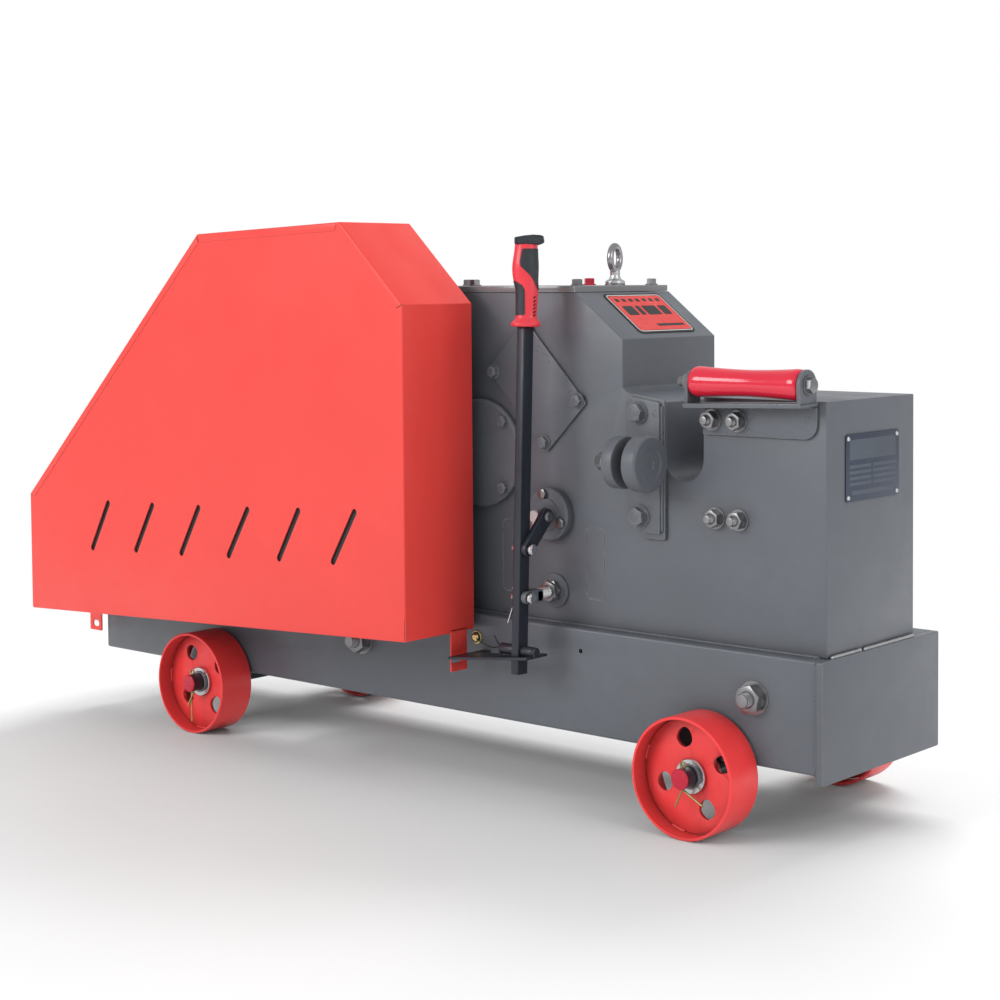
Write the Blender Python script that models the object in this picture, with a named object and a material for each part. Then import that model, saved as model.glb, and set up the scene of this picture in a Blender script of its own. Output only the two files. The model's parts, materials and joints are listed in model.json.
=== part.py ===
"""Rebar cutter: wheeled chassis, welded gearbox and jaw, belt drive, two-stage gear train,
crank-driven ram with a moving blade, dog clutch and hand lever.

Machine frame: +X along the chassis towards the jaw, -Y the operator's side, +Z up. Lengths in the
helper calls are millimetres and MM turns them into metres. X = 0 lies midway between the two
axles, Y = 0 on the chassis centreline and Z = 0 on the ground. The empty machine_datum moves
this frame so that the finished object stands over the world origin."""

import math

import bmesh
import bpy
from mathutils import Matrix, Vector

MM = 0.001

# ---- driving dimensions, millimetres ----
DATUM_X, DATUM_Y = 68.55, 37.6  # machine frame to footprint centre

CHASSIS_X0, CHASSIS_X1 = -699.9, 578.3
CHASSIS_HALF_WIDTH = 128.3
CHASSIS_Z0, CHASSIS_Z1 = 84.7, 214.3
END_PLATE_X1 = 588.6

AXLE_X = 434.9
WHEEL_R, WHEEL_WIDTH, WHEEL_INNER_Y = 71.1, 53.0, 133.2
AXLE_R = 12.0
RIM_WALL, WEB_RECESS, WEB_THICK = 3.6, 22.0, 6.0

BODY_Y0, BODY_Y1 = -108.6, 80.0  # near and far faces of the gearbox
WALL = 18.0
BODY_X0, BODY_X1 = -262.0, 581.7
BODY_Z0, JAW_Z, WALL_TOP, BODY_TOP = 214.6, 502.6, 624.2, 632.5
NOSE_X, NOSE_Z, CHAMFER_X, LID_X1 = 291.7, 567.8, 218.6, 216.5
LEDGE_Z = 494.5
THROAT_X0, THROAT_X1, THROAT_Z = 354.4, 411.4, 430.6

CRANK = (63.6, 420.0)
ECCENTRICITY = 24.0
JOURNAL_R, CRANKPIN_R = 26.0, 22.0
MODULE_1, INPUT_TEETH, GEAR_1_TEETH = 3.0, 16, 60
MODULE_2, PINION_2_TEETH, GEAR_2_TEETH = 4.0, 15, 60
BACKLASH = 0.5
RAM_Y0, RAM_Y1 = -10.0, 30.0
RAM_Z0, RAM_Z1 = 383.0, 457.0
BLADE_FRONT, FIXED_BLADE_X = 362.0, 408.0

CENTRES_2 = MODULE_2 * (PINION_2_TEETH + GEAR_2_TEETH) / 2
CENTRES_1 = MODULE_1 * (INPUT_TEETH + GEAR_1_TEETH) / 2
ANGLE_2 = math.radians(200.0)  # crank to intermediate shaft
ANGLE_1 = math.radians(135.0)  # intermediate to input shaft
INTER = (CRANK[0] + CENTRES_2 * math.cos(ANGLE_2), CRANK[1] + CENTRES_2 * math.sin(ANGLE_2))
INPUT = (INTER[0] + CENTRES_1 * math.cos(ANGLE_1), INTER[1] + CENTRES_1 * math.sin(ANGLE_1))

MOTOR = (-531.0, 326.0)
FLYWHEEL_R, MOTOR_PULLEY_R = 205.0, 50.0
BELT_Y = (-163.0, -183.0)
BELT_HALF_TOP, BELT_HALF_BOTTOM, BELT_DEPTH = 6.5, 4.2, 8.0

COVER_Y0, COVER_Y1 = -264.4, -139.4
COVER_SHEET = 2.0

LEVER = (184.0, -178.0, 188.6)  # pivot
LEVER_LEAN = math.radians(2.2)
SHIFT_ROD = (180.4, 349.7)
PULL_ROD = (184.0, 254.0)
STOP = (-152.5, 424.5)
ROLLER = (-130.0, 521.8)


# ---- scene and materials ----
for old in list(bpy.data.objects):
    bpy.data.objects.remove(old, do_unlink=True)


def material(name, rgb, roughness, metallic):
    mat = bpy.data.materials.new(name)
    mat.use_nodes = True
    bsdf = mat.node_tree.nodes["Principled BSDF"]
    bsdf.inputs["Base Color"].default_value = (*rgb, 1.0)
    bsdf.inputs["Roughness"].default_value = roughness
    bsdf.inputs["Metallic"].default_value = metallic
    mat.diffuse_color = (*rgb, 1.0)
    return mat


GREY = material("grey_enamel", (0.135, 0.145, 0.158), 0.42, 0.1)
RED = material("red_powder_coat", (0.80, 0.055, 0.045), 0.38, 0.0)
RED_GLOSS = material("red_gloss", (0.78, 0.015, 0.03), 0.22, 0.0)
BLACK = material("blued_steel", (0.022, 0.026, 0.038), 0.4, 0.5)
STEEL = material("bright_steel", (0.56, 0.56, 0.57), 0.32, 1.0)
DARK_STEEL = material("tool_steel", (0.25, 0.25, 0.26), 0.35, 1.0)
IRON = material("cast_iron", (0.16, 0.165, 0.17), 0.6, 0.8)
BRONZE = material("bronze", (0.62, 0.42, 0.16), 0.35, 1.0)
BELT = material("belt_rubber", (0.018, 0.018, 0.018), 0.75, 0.0)
MOTOR_PAINT = material("motor_paint", (0.075, 0.13, 0.17), 0.5, 0.0)
PLASTIC = material("grip_plastic", (0.70, 0.03, 0.04), 0.45, 0.0)
LABEL = material("label", (0.80, 0.05, 0.04), 0.35, 0.0)
PLATE = material("rating_plate", (0.10, 0.12, 0.16), 0.35, 0.6)

datum = bpy.data.objects.new("machine_datum", None)
datum.location = (DATUM_X * MM, DATUM_Y * MM, 0.0)
bpy.context.scene.collection.objects.link(datum)


# ---- shape helpers, millimetres ----
def spot(axis, a, b, h):
    """Plane coordinates (a, b) and height h along axis: X gives (y, z), Y gives (x, z), Z gives (x, y)."""
    if axis == "X":
        return Vector((h, a, b)) * MM
    if axis == "Y":
        return Vector((a, h, b)) * MM
    return Vector((a, b, h)) * MM


def circle(cx, cy, r, n, start=0.0):
    return [
        (cx + r * math.cos(start + 2 * math.pi * k / n), cy + r * math.sin(start + 2 * math.pi * k / n))
        for k in range(n)
    ]


def arc(cx, cy, r, a0, a1, n):
    """Points along an arc, degrees, both ends included."""
    return [
        (cx + r * math.cos(math.radians(a0 + (a1 - a0) * k / n)), cy + r * math.sin(math.radians(a0 + (a1 - a0) * k / n)))
        for k in range(n + 1)
    ]


def obround(ax, ay, bx, by, r, n=8, r2=None):
    """Outline round two circles."""
    r2 = r if r2 is None else r2
    turn = math.degrees(math.atan2(by - ay, bx - ax))
    lean = math.degrees(math.asin((r - r2) / math.hypot(bx - ax, by - ay)))
    return arc(bx, by, r2, turn - 90 + lean, turn + 90 - lean, n) + arc(ax, ay, r, turn + 90 - lean, turn + 270 + lean, n)


def rounded(x0, y0, x1, y1, r, n=3):
    return (
        arc(x1 - r, y0 + r, r, -90, 0, n)
        + arc(x1 - r, y1 - r, r, 0, 90, n)
        + arc(x0 + r, y1 - r, r, 90, 180, n)
        + arc(x0 + r, y0 + r, r, 180, 270, n)
    )


def prism(points, lo, hi, axis="Y", holes=(), bm=None):
    """A flat outline with holes, filled and extruded along axis."""
    bm = bm or bmesh.new()
    edges = []
    for loop in (points, *holes):
        verts = [bm.verts.new(spot(axis, a, b, lo)) for a, b in loop]
        edges += [bm.edges.new((verts[i - 1], verts[i])) for i in range(len(verts))]
    if holes:
        made = bmesh.ops.triangle_fill(bm, use_beauty=True, use_dissolve=False, edges=edges)
        faces = [g for g in made["geom"] if isinstance(g, bmesh.types.BMFace)]
    else:
        faces = bmesh.ops.contextual_create(bm, geom=edges)["faces"]
    grown = bmesh.ops.extrude_face_region(bm, geom=faces)
    top = [g for g in grown["geom"] if isinstance(g, bmesh.types.BMVert)]
    bmesh.ops.translate(bm, verts=top, vec=spot(axis, 0, 0, hi) - spot(axis, 0, 0, lo))
    bmesh.ops.recalc_face_normals(bm, faces=bm.faces[:])
    return bm


def lathe(profile, centre, axis="Y", n=32, closed=False, bm=None):
    """Spins (radius, height) points round an axis. A closed profile makes a ring."""
    bm = bm or bmesh.new()
    a, b = centre
    verts = [bm.verts.new(spot(axis, a + r, b, h)) for r, h in profile]
    edges = [bm.edges.new((verts[i], verts[i + 1])) for i in range(len(verts) - 1)]
    if closed:
        edges.append(bm.edges.new((verts[-1], verts[0])))
    turn = {"X": (1, 0, 0), "Y": (0, 1, 0), "Z": (0, 0, 1)}[axis]
    bmesh.ops.spin(
        bm, geom=verts + edges, cent=spot(axis, a, b, 0), axis=turn, dvec=(0, 0, 0),
        angle=2 * math.pi, steps=n, use_merge=True, use_normal_flip=False, use_duplicate=False,
    )
    bmesh.ops.remove_doubles(bm, verts=bm.verts[:], dist=1e-6)
    bmesh.ops.recalc_face_normals(bm, faces=bm.faces[:])
    return bm


def rod(centre, lo, hi, r, axis="Y", n=24):
    return lathe([(0, lo), (r, lo), (r, hi), (0, hi)], centre, axis, n)


def box(x0, x1, y0, y1, z0, z1):
    return prism([(x0, z0), (x1, z0), (x1, z1), (x0, z1)], y0, y1)


def hexagon(cy, cz, flats, start=0.0):
    return circle(cy, cz, flats / math.sqrt(3), 6, start)


def gear_outline(teeth, module, centre, phase, points_per_flank=2):
    """Teeth with involute flanks, one tooth centred on the angle phase."""
    pitch = teeth * module / 2
    base = pitch * math.cos(math.radians(20))
    tip, root = pitch + 0.95 * module, pitch - 1.22 * module
    half = (math.pi * module / 2 - BACKLASH / 2) / 2 / pitch

    def involute(r):
        if r <= base:
            return 0.0
        a = math.acos(base / r)
        return math.tan(a) - a

    radii = [root, tip] if points_per_flank == 2 else [root, pitch - 0.3 * module, pitch + 0.4 * module, tip]
    outline = []
    for k in range(teeth):
        mid = phase + 2 * math.pi * k / teeth
        flank = [(r, half + involute(pitch) - involute(r)) for r in radii]
        if points_per_flank == 2:
            flank[0] = (root, half + 1.22 * module * math.tan(math.radians(17)) / pitch)
        for r, w in flank:
            outline.append((centre[0] + r * math.cos(mid - w), centre[1] + r * math.sin(mid - w)))
        for r, w in reversed(flank):
            outline.append((centre[0] + r * math.cos(mid + w), centre[1] + r * math.sin(mid + w)))
    return outline


def make(name, bm, mat, pivot=(0.0, 0.0, 0.0), smooth=True):
    """Puts the mesh in an object whose origin is the pivot."""
    pivot = Vector(pivot) * MM
    bmesh.ops.translate(bm, verts=bm.verts[:], vec=-pivot)
    mesh = bpy.data.meshes.new(name)
    bm.to_mesh(mesh)
    bm.free()
    if smooth:
        mesh.shade_smooth()
        mesh.set_sharp_from_angle(angle=math.radians(32))
    mesh.materials.append(mat)
    obj = bpy.data.objects.new(name, mesh)
    bpy.context.scene.collection.objects.link(obj)
    obj.parent = datum
    obj.location = pivot
    return obj


def helper(name, bm):
    obj = make(name, bm, GREY, smooth=False)
    obj.hide_render = True
    obj.display_type = "WIRE"
    return obj


def boolean(obj, operation, *meshes):
    for k, bm in enumerate(meshes):
        modifier = obj.modifiers.new(f"{operation.lower()}_{k}", "BOOLEAN")
        modifier.operation = operation
        modifier.solver = "EXACT"
        modifier.object = helper(f"{obj.name}_{operation.lower()}_{len(obj.modifiers)}", bm)
    return obj


def bevel(obj, width, segments=2, angle=40):
    modifier = obj.modifiers.new("edges", "BEVEL")
    modifier.width = width * MM
    modifier.segments = segments
    modifier.limit_method = "ANGLE"
    modifier.angle_limit = math.radians(angle)
    return obj


# ---- chassis ----
rail = [
    (-128.3, 84.7), (-78.3, 84.7), (-78.3, 92.7), (-121.3, 92.7), (-121.3, 206.3),
    (-78.3, 206.3), (-78.3, 214.3), (-128.3, 214.3),
]
chassis = make("chassis_frame", prism(rail, CHASSIS_X0, CHASSIS_X1, "X"), GREY, smooth=False)
boolean(
    chassis, "UNION",
    prism([(-a, b) for a, b in rail], CHASSIS_X0, CHASSIS_X1, "X"),
    box(CHASSIS_X0, CHASSIS_X0 + 8, -125, 125, 86, 212),
    box(-646, -410, -125, 125, 206.6, 213.9),
    box(-300, -292, -125, 125, 90, 208),
    box(150, 158, -125, 125, 90, 208),
    box(CHASSIS_X1 - 8, CHASSIS_X1, -125, 125, 86, 212),
)
end_plate = make(
    "end_plate",
    prism(rounded(-128.3, 74.5, 128.3, 214.2, 2.5, 2), 578.6, END_PLATE_X1, "X"), GREY, smooth=False,
)

# ---- axles and wheels ----
for name, x in (("front_axle", AXLE_X), ("rear_axle", -AXLE_X)):
    end = WHEEL_INNER_Y + WHEEL_WIDTH
    make(
        name,
        lathe([(0, -end - 3), (AXLE_R - 2, -end - 3), (AXLE_R, -end - 1), (AXLE_R, end + 1), (AXLE_R - 2, end + 3), (0, end + 3)],
              (x, WHEEL_R), "Y", 16),
        RED,
    )


def wheel_mesh():
    """Thin drum rim, deeply recessed web with four lightening holes, hub tube on the inner side. The outer side faces -Y."""
    w, inner = WHEEL_WIDTH, WHEEL_R - RIM_WALL
    web = WEB_RECESS - w
    profile = [
        (AXLE_R + 0.4, web - 3), (21.5, web - 3), (21.5, web), (inner, web), (inner, -w), (WHEEL_R, -w),
        (WHEEL_R, 0), (inner, 0), (inner, web + WEB_THICK), (20, web + WEB_THICK), (20, 0), (AXLE_R + 0.4, 0),
    ]
    obj = make("wheel_pattern", lathe(profile, (0, 0), "Y", 20, closed=True), RED)
    boolean(obj, "DIFFERENCE", *[
        rod((45 * math.cos(a), 45 * math.sin(a)), web - 5, web + WEB_THICK + 5, 11, "Y", 8)
        for a in (math.radians(a) for a in (100, 13, -54, 188))
    ])
    bpy.context.view_layer.update()
    mesh = bpy.data.meshes.new_from_object(obj.evaluated_get(bpy.context.evaluated_depsgraph_get()))
    for modifier in list(obj.modifiers):
        bpy.data.objects.remove(modifier.object, do_unlink=True)
    bpy.data.objects.remove(obj, do_unlink=True)
    return mesh


wheel = wheel_mesh()
for name, x, side in (
    ("wheel_front_near", AXLE_X, -1), ("wheel_front_far", AXLE_X, 1),
    ("wheel_rear_near", -AXLE_X, -1), ("wheel_rear_far", -AXLE_X, 1),
):
    obj = bpy.data.objects.new(name, wheel)
    bpy.context.scene.collection.objects.link(obj)
    obj.parent = datum
    obj.location = (x * MM, side * WHEEL_INNER_Y * MM, WHEEL_R * MM)
    obj.rotation_euler = (0, 0, 0 if side < 0 else math.pi)

# ---- gearbox and jaw ----
throat = (THROAT_X0 + THROAT_X1) / 2
throat_r = (THROAT_X1 - THROAT_X0) / 2
outline = (
    [(BODY_X0, BODY_Z0), (BODY_X1, BODY_Z0), (BODY_X1, JAW_Z), (THROAT_X1, JAW_Z)]
    + arc(throat, THROAT_Z, throat_r, 0, -180, 10)
    + [(THROAT_X0, LEDGE_Z), (NOSE_X + 8, LEDGE_Z + 9.5), (NOSE_X, LEDGE_Z + 14), (NOSE_X, NOSE_Z),
       (CHAMFER_X, WALL_TOP), (BODY_X0, WALL_TOP)]
)
inner = [
    (BODY_X0 + 16, 232), (NOSE_X - 16, 232), (NOSE_X - 16, NOSE_Z - 8), (CHAMFER_X - 2, WALL_TOP - 22),
    (CHAMFER_X - 16, WALL_TOP - 22), (CHAMFER_X - 16, WALL_TOP + 5), (BODY_X0 + 16, WALL_TOP + 5),
]
WINDOW = [(237.2, 489.3), (173.0, 426.0), (74.8, 527.0), (139.1, 590.2)]
window_mid = (sum(p[0] for p in WINDOW) / 4, sum(p[1] for p in WINDOW) / 4)
housing = make("gearbox_housing", prism(outline, BODY_Y0, BODY_Y1), GREY, smooth=False)
boolean(
    housing, "DIFFERENCE",
    prism(inner, BODY_Y0 + WALL, BODY_Y1 - WALL),
    box(NOSE_X - 25, FIXED_BLADE_X + 30.6, RAM_Y0 - 0.6, RAM_Y1 + 0.6, RAM_Z0 - 0.6, RAM_Z1 + 0.6),
    rod(CRANK, BODY_Y0 - 5, BODY_Y1 + 5, 36.4, n=32),
    rod(INPUT, BODY_Y0 - 5, BODY_Y1 + 5, 30.4, n=28),
    rod(INTER, BODY_Y0 - 5, BODY_Y1 + 5, 15.4, n=20),
    rod(SHIFT_ROD, BODY_Y0 - 5, -60, 12.4, n=16),
    rod(PULL_ROD, BODY_Y0 - 5, -60, 12.4, n=16),
    prism([(window_mid[0] + 0.72 * (x - window_mid[0]), window_mid[1] + 0.72 * (z - window_mid[1])) for x, z in WINDOW],
          BODY_Y0 - 5, BODY_Y0 + WALL + 5),
    # hollow jaw, open to the chassis below
    box(458, 562, BODY_Y0 + WALL, BODY_Y1 - WALL, BODY_Z0 - 5, JAW_Z - 16),
)
make(
    "housing_top_cover",
    box(BODY_X0, LID_X1, BODY_Y0, BODY_Y1, WALL_TOP + 0.3, BODY_TOP), GREY, smooth=False,
)
make("round_bearing_cover", lathe([(0, BODY_Y0 - 9.0), (66, BODY_Y0 - 9.0), (69, BODY_Y0 - 6.5), (69, BODY_Y0 - 0.3), (0, BODY_Y0 - 0.3)], CRANK, "Y", 28), GREY)
make("crank_end_cap", lathe([(0, BODY_Y1 + 0.3), (50, BODY_Y1 + 0.3), (50, BODY_Y1 + 7), (47, BODY_Y1 + 10), (0, BODY_Y1 + 10)], CRANK, "Y", 24), GREY)
make("gear_shaft_cover", prism(obround(*INTER, *INPUT, 34, 8), BODY_Y1 + 0.3, BODY_Y1 + 8.3), GREY, smooth=False)
make("inspection_plate", prism(WINDOW, BODY_Y0 - 4.3, BODY_Y0 - 0.3), GREY, smooth=False)
make(
    "clutch_flange",
    lathe([(8.4, BODY_Y0 - 0.3), (33, BODY_Y0 - 0.3), (33, BODY_Y0 - 11), (31, BODY_Y0 - 13), (20, BODY_Y0 - 13),
           (20, BODY_Y0 - 16), (14, BODY_Y0 - 16), (8.4, BODY_Y0 - 16)], SHIFT_ROD, "Y", 20, closed=True), GREY,
)
make(
    "pull_rod_guide",
    lathe([(7.4, BODY_Y0 + 14), (12, BODY_Y0 + 14), (12, BODY_Y0 - 0.3), (18, BODY_Y0 - 0.3), (18, BODY_Y0 - 4),
           (12.5, BODY_Y0 - 4), (12.5, BODY_Y0 - 17), (7.4, BODY_Y0 - 17)], PULL_ROD, "Y", 20, closed=True), STEEL,
)

# ---- bearings ----
for name, centre, y0, y1, inner_r, outer_r in (
    ("crank_bush_near", CRANK, BODY_Y0 + 0.3, BODY_Y0 + WALL, JOURNAL_R + 0.3, 36),
    ("crank_bush_far", CRANK, BODY_Y1 - WALL, BODY_Y1 - 0.3, JOURNAL_R + 0.3, 36),
    ("input_bearing_near", INPUT, BODY_Y0 + 0.3, BODY_Y0 + WALL, 18.4, 30),
    ("input_bearing_far", INPUT, BODY_Y1 - WALL, BODY_Y1 - 0.3, 18.4, 30),
):
    make(
        name,
        lathe([(inner_r, y0), (outer_r, y0), (outer_r, y1), (inner_r, y1)], centre, "Y", 28 if "bush" in name else 18, closed=True),
        BRONZE if "bush" in name else STEEL,
    )

# ---- gear train ----
GEAR_2_Y = (-89.0, -67.0)
DOG_DEPTH = 5.3
GEAR_1_Y = (34.0, 54.0)
to_input = math.atan2(INPUT[1] - INTER[1], INPUT[0] - INTER[0])
to_inter = math.atan2(INTER[1] - CRANK[1], INTER[0] - CRANK[0])

input_shaft = make(
    "input_pinion_shaft",
    lathe([(0, -225), (16, -225), (17.9, -223), (17.9, 76), (16, 78), (0, 78)], INPUT, "Y", 18),
    STEEL, (INPUT[0], 0, INPUT[1]),
)
boolean(input_shaft, "UNION", prism(gear_outline(INPUT_TEETH, MODULE_1, INPUT, to_input + math.pi, 4), 33, 55))

inter_shaft = make(
    "intermediate_pinion_shaft",
    lathe([(0, -107), (15, -107), (15, -65), (18, -65), (18, 32.5), (15, 32.5), (15, 78), (0, 78)], INTER, "Y", 18),
    STEEL, (INTER[0], 0, INTER[1]),
)
boolean(inter_shaft, "UNION", prism(
    gear_outline(PINION_2_TEETH, MODULE_2, INTER, to_inter + math.pi + math.pi / PINION_2_TEETH, 4),
    GEAR_2_Y[0] - 0.5, GEAR_2_Y[1] + 0.5))
make(
    "intermediate_gear",
    prism(gear_outline(GEAR_1_TEETH, MODULE_1, INTER, to_input + math.pi / GEAR_1_TEETH), *GEAR_1_Y, holes=[circle(*INTER, 15.35, 20)]),
    DARK_STEEL, (INTER[0], 0, INTER[1]), smooth=False,
)


def dogs(centre, y0, y1, first):
    """Four clutch dogs, each 38 degrees wide, as one set of sectors."""
    bm = bmesh.new()
    for k in range(4):
        a = first + 90 * k
        prism(arc(*centre, 44, a - 19, a + 19, 4) + arc(*centre, 30, a + 19, a - 19, 3), y0, y1, bm=bm)
    return bm


crank_gear = make(
    "crank_gear",
    prism(gear_outline(GEAR_2_TEETH, MODULE_2, CRANK, to_inter), *GEAR_2_Y, holes=[circle(*CRANK, JOURNAL_R + 0.35, 28)]),
    DARK_STEEL, (CRANK[0], 0, CRANK[1]), smooth=False,
)
boolean(crank_gear, "UNION", dogs(CRANK, GEAR_2_Y[1] - 2, GEAR_2_Y[1] + DOG_DEPTH, 0))

# ---- crankshaft, sliding block, ram ----
pin = (CRANK[0] - ECCENTRICITY, CRANK[1])
crankshaft = make("crankshaft", rod(CRANK, -107, -12, JOURNAL_R, n=28), STEEL, (CRANK[0], 0, CRANK[1]))
boolean(
    crankshaft, "UNION",
    prism(obround(*CRANK, *pin, 40, 8, 28), -25, -11),
    rod(pin, -12, 32, CRANKPIN_R, n=28),
    prism(obround(*CRANK, *pin, 36, 8, 28), 31, 44),
    rod(CRANK, 32, 78, JOURNAL_R, n=28),
)
BLOCK_X, BLOCK_Z = 32.0, 30.0
make(
    "sliding_block",
    prism(
        [(pin[0] - BLOCK_X, pin[1] - BLOCK_Z), (pin[0] + BLOCK_X, pin[1] - BLOCK_Z), (pin[0] + BLOCK_X, pin[1] + BLOCK_Z), (pin[0] - BLOCK_X, pin[1] + BLOCK_Z)],
        RAM_Y0, RAM_Y1, holes=[circle(*pin, CRANKPIN_R + 0.35, 28)],
    ),
    BRONZE, (pin[0], 0, pin[1]), smooth=False,
)
slot_x0, slot_x1 = pin[0] - BLOCK_X - 5.6, pin[0] + BLOCK_X + 5.6
slot_z = BLOCK_Z + ECCENTRICITY + 1.0
ram_outline = [
    (slot_x0 - 16, CRANK[1] - slot_z - 15), (slot_x1 + 16, CRANK[1] - slot_z - 15), (slot_x1 + 16, RAM_Z0), (BLADE_FRONT - 30, RAM_Z0),
    (BLADE_FRONT - 30, RAM_Z1), (slot_x1 + 16, RAM_Z1), (slot_x1 + 16, CRANK[1] + slot_z + 15), (slot_x0 - 16, CRANK[1] + slot_z + 15),
]
make(
    "ram",
    prism(ram_outline, RAM_Y0, RAM_Y1,
          holes=[[(slot_x0, CRANK[1] - slot_z), (slot_x1, CRANK[1] - slot_z), (slot_x1, CRANK[1] + slot_z), (slot_x0, CRANK[1] + slot_z)]]),
    STEEL, smooth=False,
)
make("moving_blade", box(BLADE_FRONT - 29.7, BLADE_FRONT, RAM_Y0, 9.7, RAM_Z0, RAM_Z1), DARK_STEEL, smooth=False)
make("fixed_blade", box(FIXED_BLADE_X, FIXED_BLADE_X + 30.2, 10.3, 30.2, RAM_Z0, RAM_Z1), DARK_STEEL, smooth=False)

# ---- clutch collar and fork on the crankshaft ----
COLLAR_Y = (-40.7, -26.7)
collar = make(
    "clutch_collar",
    lathe([(JOURNAL_R + 0.35, COLLAR_Y[0]), (46, COLLAR_Y[0]), (46, COLLAR_Y[0] + 2.6), (38, COLLAR_Y[0] + 2.6),
           (38, COLLAR_Y[1] - 2.6), (46, COLLAR_Y[1] - 2.6), (46, COLLAR_Y[1]), (JOURNAL_R + 0.35, COLLAR_Y[1])],
          CRANK, "Y", 28, closed=True),
    DARK_STEEL, (CRANK[0], 0, CRANK[1]),
)
boolean(collar, "UNION", dogs(CRANK, COLLAR_Y[0] - DOG_DEPTH, COLLAR_Y[0] + 2, 45))
away = math.degrees(math.atan2(SHIFT_ROD[1] - CRANK[1], SHIFT_ROD[0] - CRANK[0]))
fork_arm = [
    (CRANK[0] + 54 * math.cos(math.radians(away + 12)), CRANK[1] + 54 * math.sin(math.radians(away + 12))),
    (CRANK[0] + 54 * math.cos(math.radians(away - 12)), CRANK[1] + 54 * math.sin(math.radians(away - 12))),
]
clutch_fork = make(
    "clutch_fork",
    prism(arc(*CRANK, 58, away - 78, away + 78, 16) + arc(*CRANK, 38.8, away + 78, away - 78, 14), -37.6, -29.8),
    IRON, smooth=False,
)
boolean(
    clutch_fork, "UNION",
    prism([fork_arm[1], (SHIFT_ROD[0] - 8, SHIFT_ROD[1] - 15), (SHIFT_ROD[0] + 4, SHIFT_ROD[1] + 17), fork_arm[0]], -37.6, -29.8),
    rod(SHIFT_ROD, -46, -22, 18, n=20),
)
boolean(clutch_fork, "DIFFERENCE", rod(SHIFT_ROD, -60, 0, 8.3, n=20))

# ---- clutch lever and linkage ----
lean = (
    Matrix.Translation(Vector(LEVER) * MM) @ Matrix.Rotation(-LEVER_LEAN, 4, "X") @ Matrix.Translation(-Vector(LEVER) * MM)
)


def leaning(bm):
    bmesh.ops.transform(bm, matrix=lean, verts=bm.verts[:])
    return bm


def on_lever(z):
    """Depth of the leaning bar's centre at height z."""
    return LEVER[1] + (z - LEVER[2]) * math.tan(LEVER_LEAN)


lever = make("clutch_lever", leaning(box(178.2, 189.8, LEVER[1] - 9.2, LEVER[1] + 9.2, 160, 596)), BLACK, LEVER, smooth=False)
bevel(lever, 0.8, 1)
boolean(lever, "DIFFERENCE", rod((LEVER[1], LEVER[2]), 170, 200, 4.4, "X", 16))
boolean(
    lever, "UNION",
    rod((on_lever(254), 254.0), 172, 201, 4.5, "X", 14),
    rod((on_lever(313), 313.0), 172, 201, 4.5, "X", 14),
)
GRIP = [(-9, 583), (-15, 586), (-13, 600), (-11.5, 625), (-15.5, 650), (-16, 664), (-11, 676), (-11, 690), (-13, 697), (19, 697), (21, 689), (9, 682), (10, 640), (9, 610), (11, 594), (19, 588), (19, 583)]
grip = make("lever_grip", leaning(prism([(184 + a, b) for a, b in GRIP], LEVER[1] - 13, LEVER[1] + 13)), PLASTIC, LEVER, smooth=False)
bevel(grip, 4.0, 1)
boolean(grip, "DIFFERENCE", leaning(box(177.9, 190.1, LEVER[1] - 9.5, LEVER[1] + 9.5, 570, 596.4)))

pivot_bracket = make(
    "lever_pivot_bracket",
    prism([(77, 166.8), (208, 181.0), (208, 184.6), (77, 170.4)], -193, -154), BLACK, smooth=False,
)
boolean(pivot_bracket, "DIFFERENCE", box(177.6, 190.4, -189.0, -163.5, 165, 195))
boolean(
    pivot_bracket, "UNION",
    lathe([(4.4, 155), (6.8, 155), (6.8, 177.5), (4.4, 177.5)], (LEVER[1], LEVER[2]), "X", 12, closed=True),
    lathe([(4.4, 190.5), (6.8, 190.5), (6.8, 208), (4.4, 208)], (LEVER[1], LEVER[2]), "X", 12, closed=True),
    box(157, 176, LEVER[1] - 3, LEVER[1] + 3, 176, 184),
    box(192, 206, LEVER[1] - 3, LEVER[1] + 3, 181, 184),
    box(77, 91, -160, -128.7, 167.2, 170.2),
)
boolean(pivot_bracket, "DIFFERENCE", rod((LEVER[1], LEVER[2]), 150, 215, 4.4, "X", 12))
make(
    "lever_pivot_pin",
    lathe([(0, 151), (4.0, 151), (4.0, 208.4), (6.4, 208.4), (6.4, 212), (0, 212)], (LEVER[1], LEVER[2]), "X", 12), STEEL,
)

shift_rod = make(
    "clutch_shift_rod",
    lathe([(0, -147), (8, -147), (8, -18), (6.5, -16), (0, -16)], SHIFT_ROD, "Y", 20), STEEL,
    (SHIFT_ROD[0], 0, SHIFT_ROD[1]),
)
link = make(
    "clutch_link",
    prism(obround(-139, SHIFT_ROD[1], on_lever(313), 313.0, 10, 6, 9), 190.4, 197.3, "X",
          holes=[obround(on_lever(313), 312.2, on_lever(313), 313.6, 4.9, 6)]),
    BLACK, smooth=False,
)
boolean(link, "UNION", rod((-139, SHIFT_ROD[1]), 169, 192, 4.4, "X", 14))
boolean(shift_rod, "DIFFERENCE", rod((-139, SHIFT_ROD[1]), 160, 200, 4.8, "X", 14))
pull_rod = make("pull_rod", rod(PULL_ROD, -157, -70, 7.0, n=18), STEEL, (PULL_ROD[0], 0, PULL_ROD[1]))
boolean(
    pull_rod, "UNION",
    box(177, 198, -160, -148, 246.5, 261.5),
    prism(obround(-156, 254.0, on_lever(254), 254.0, 7.5, 6), 190.4, 198, "X", holes=[circle(on_lever(254), 254.0, 5.1, 14)]),
)

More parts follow.
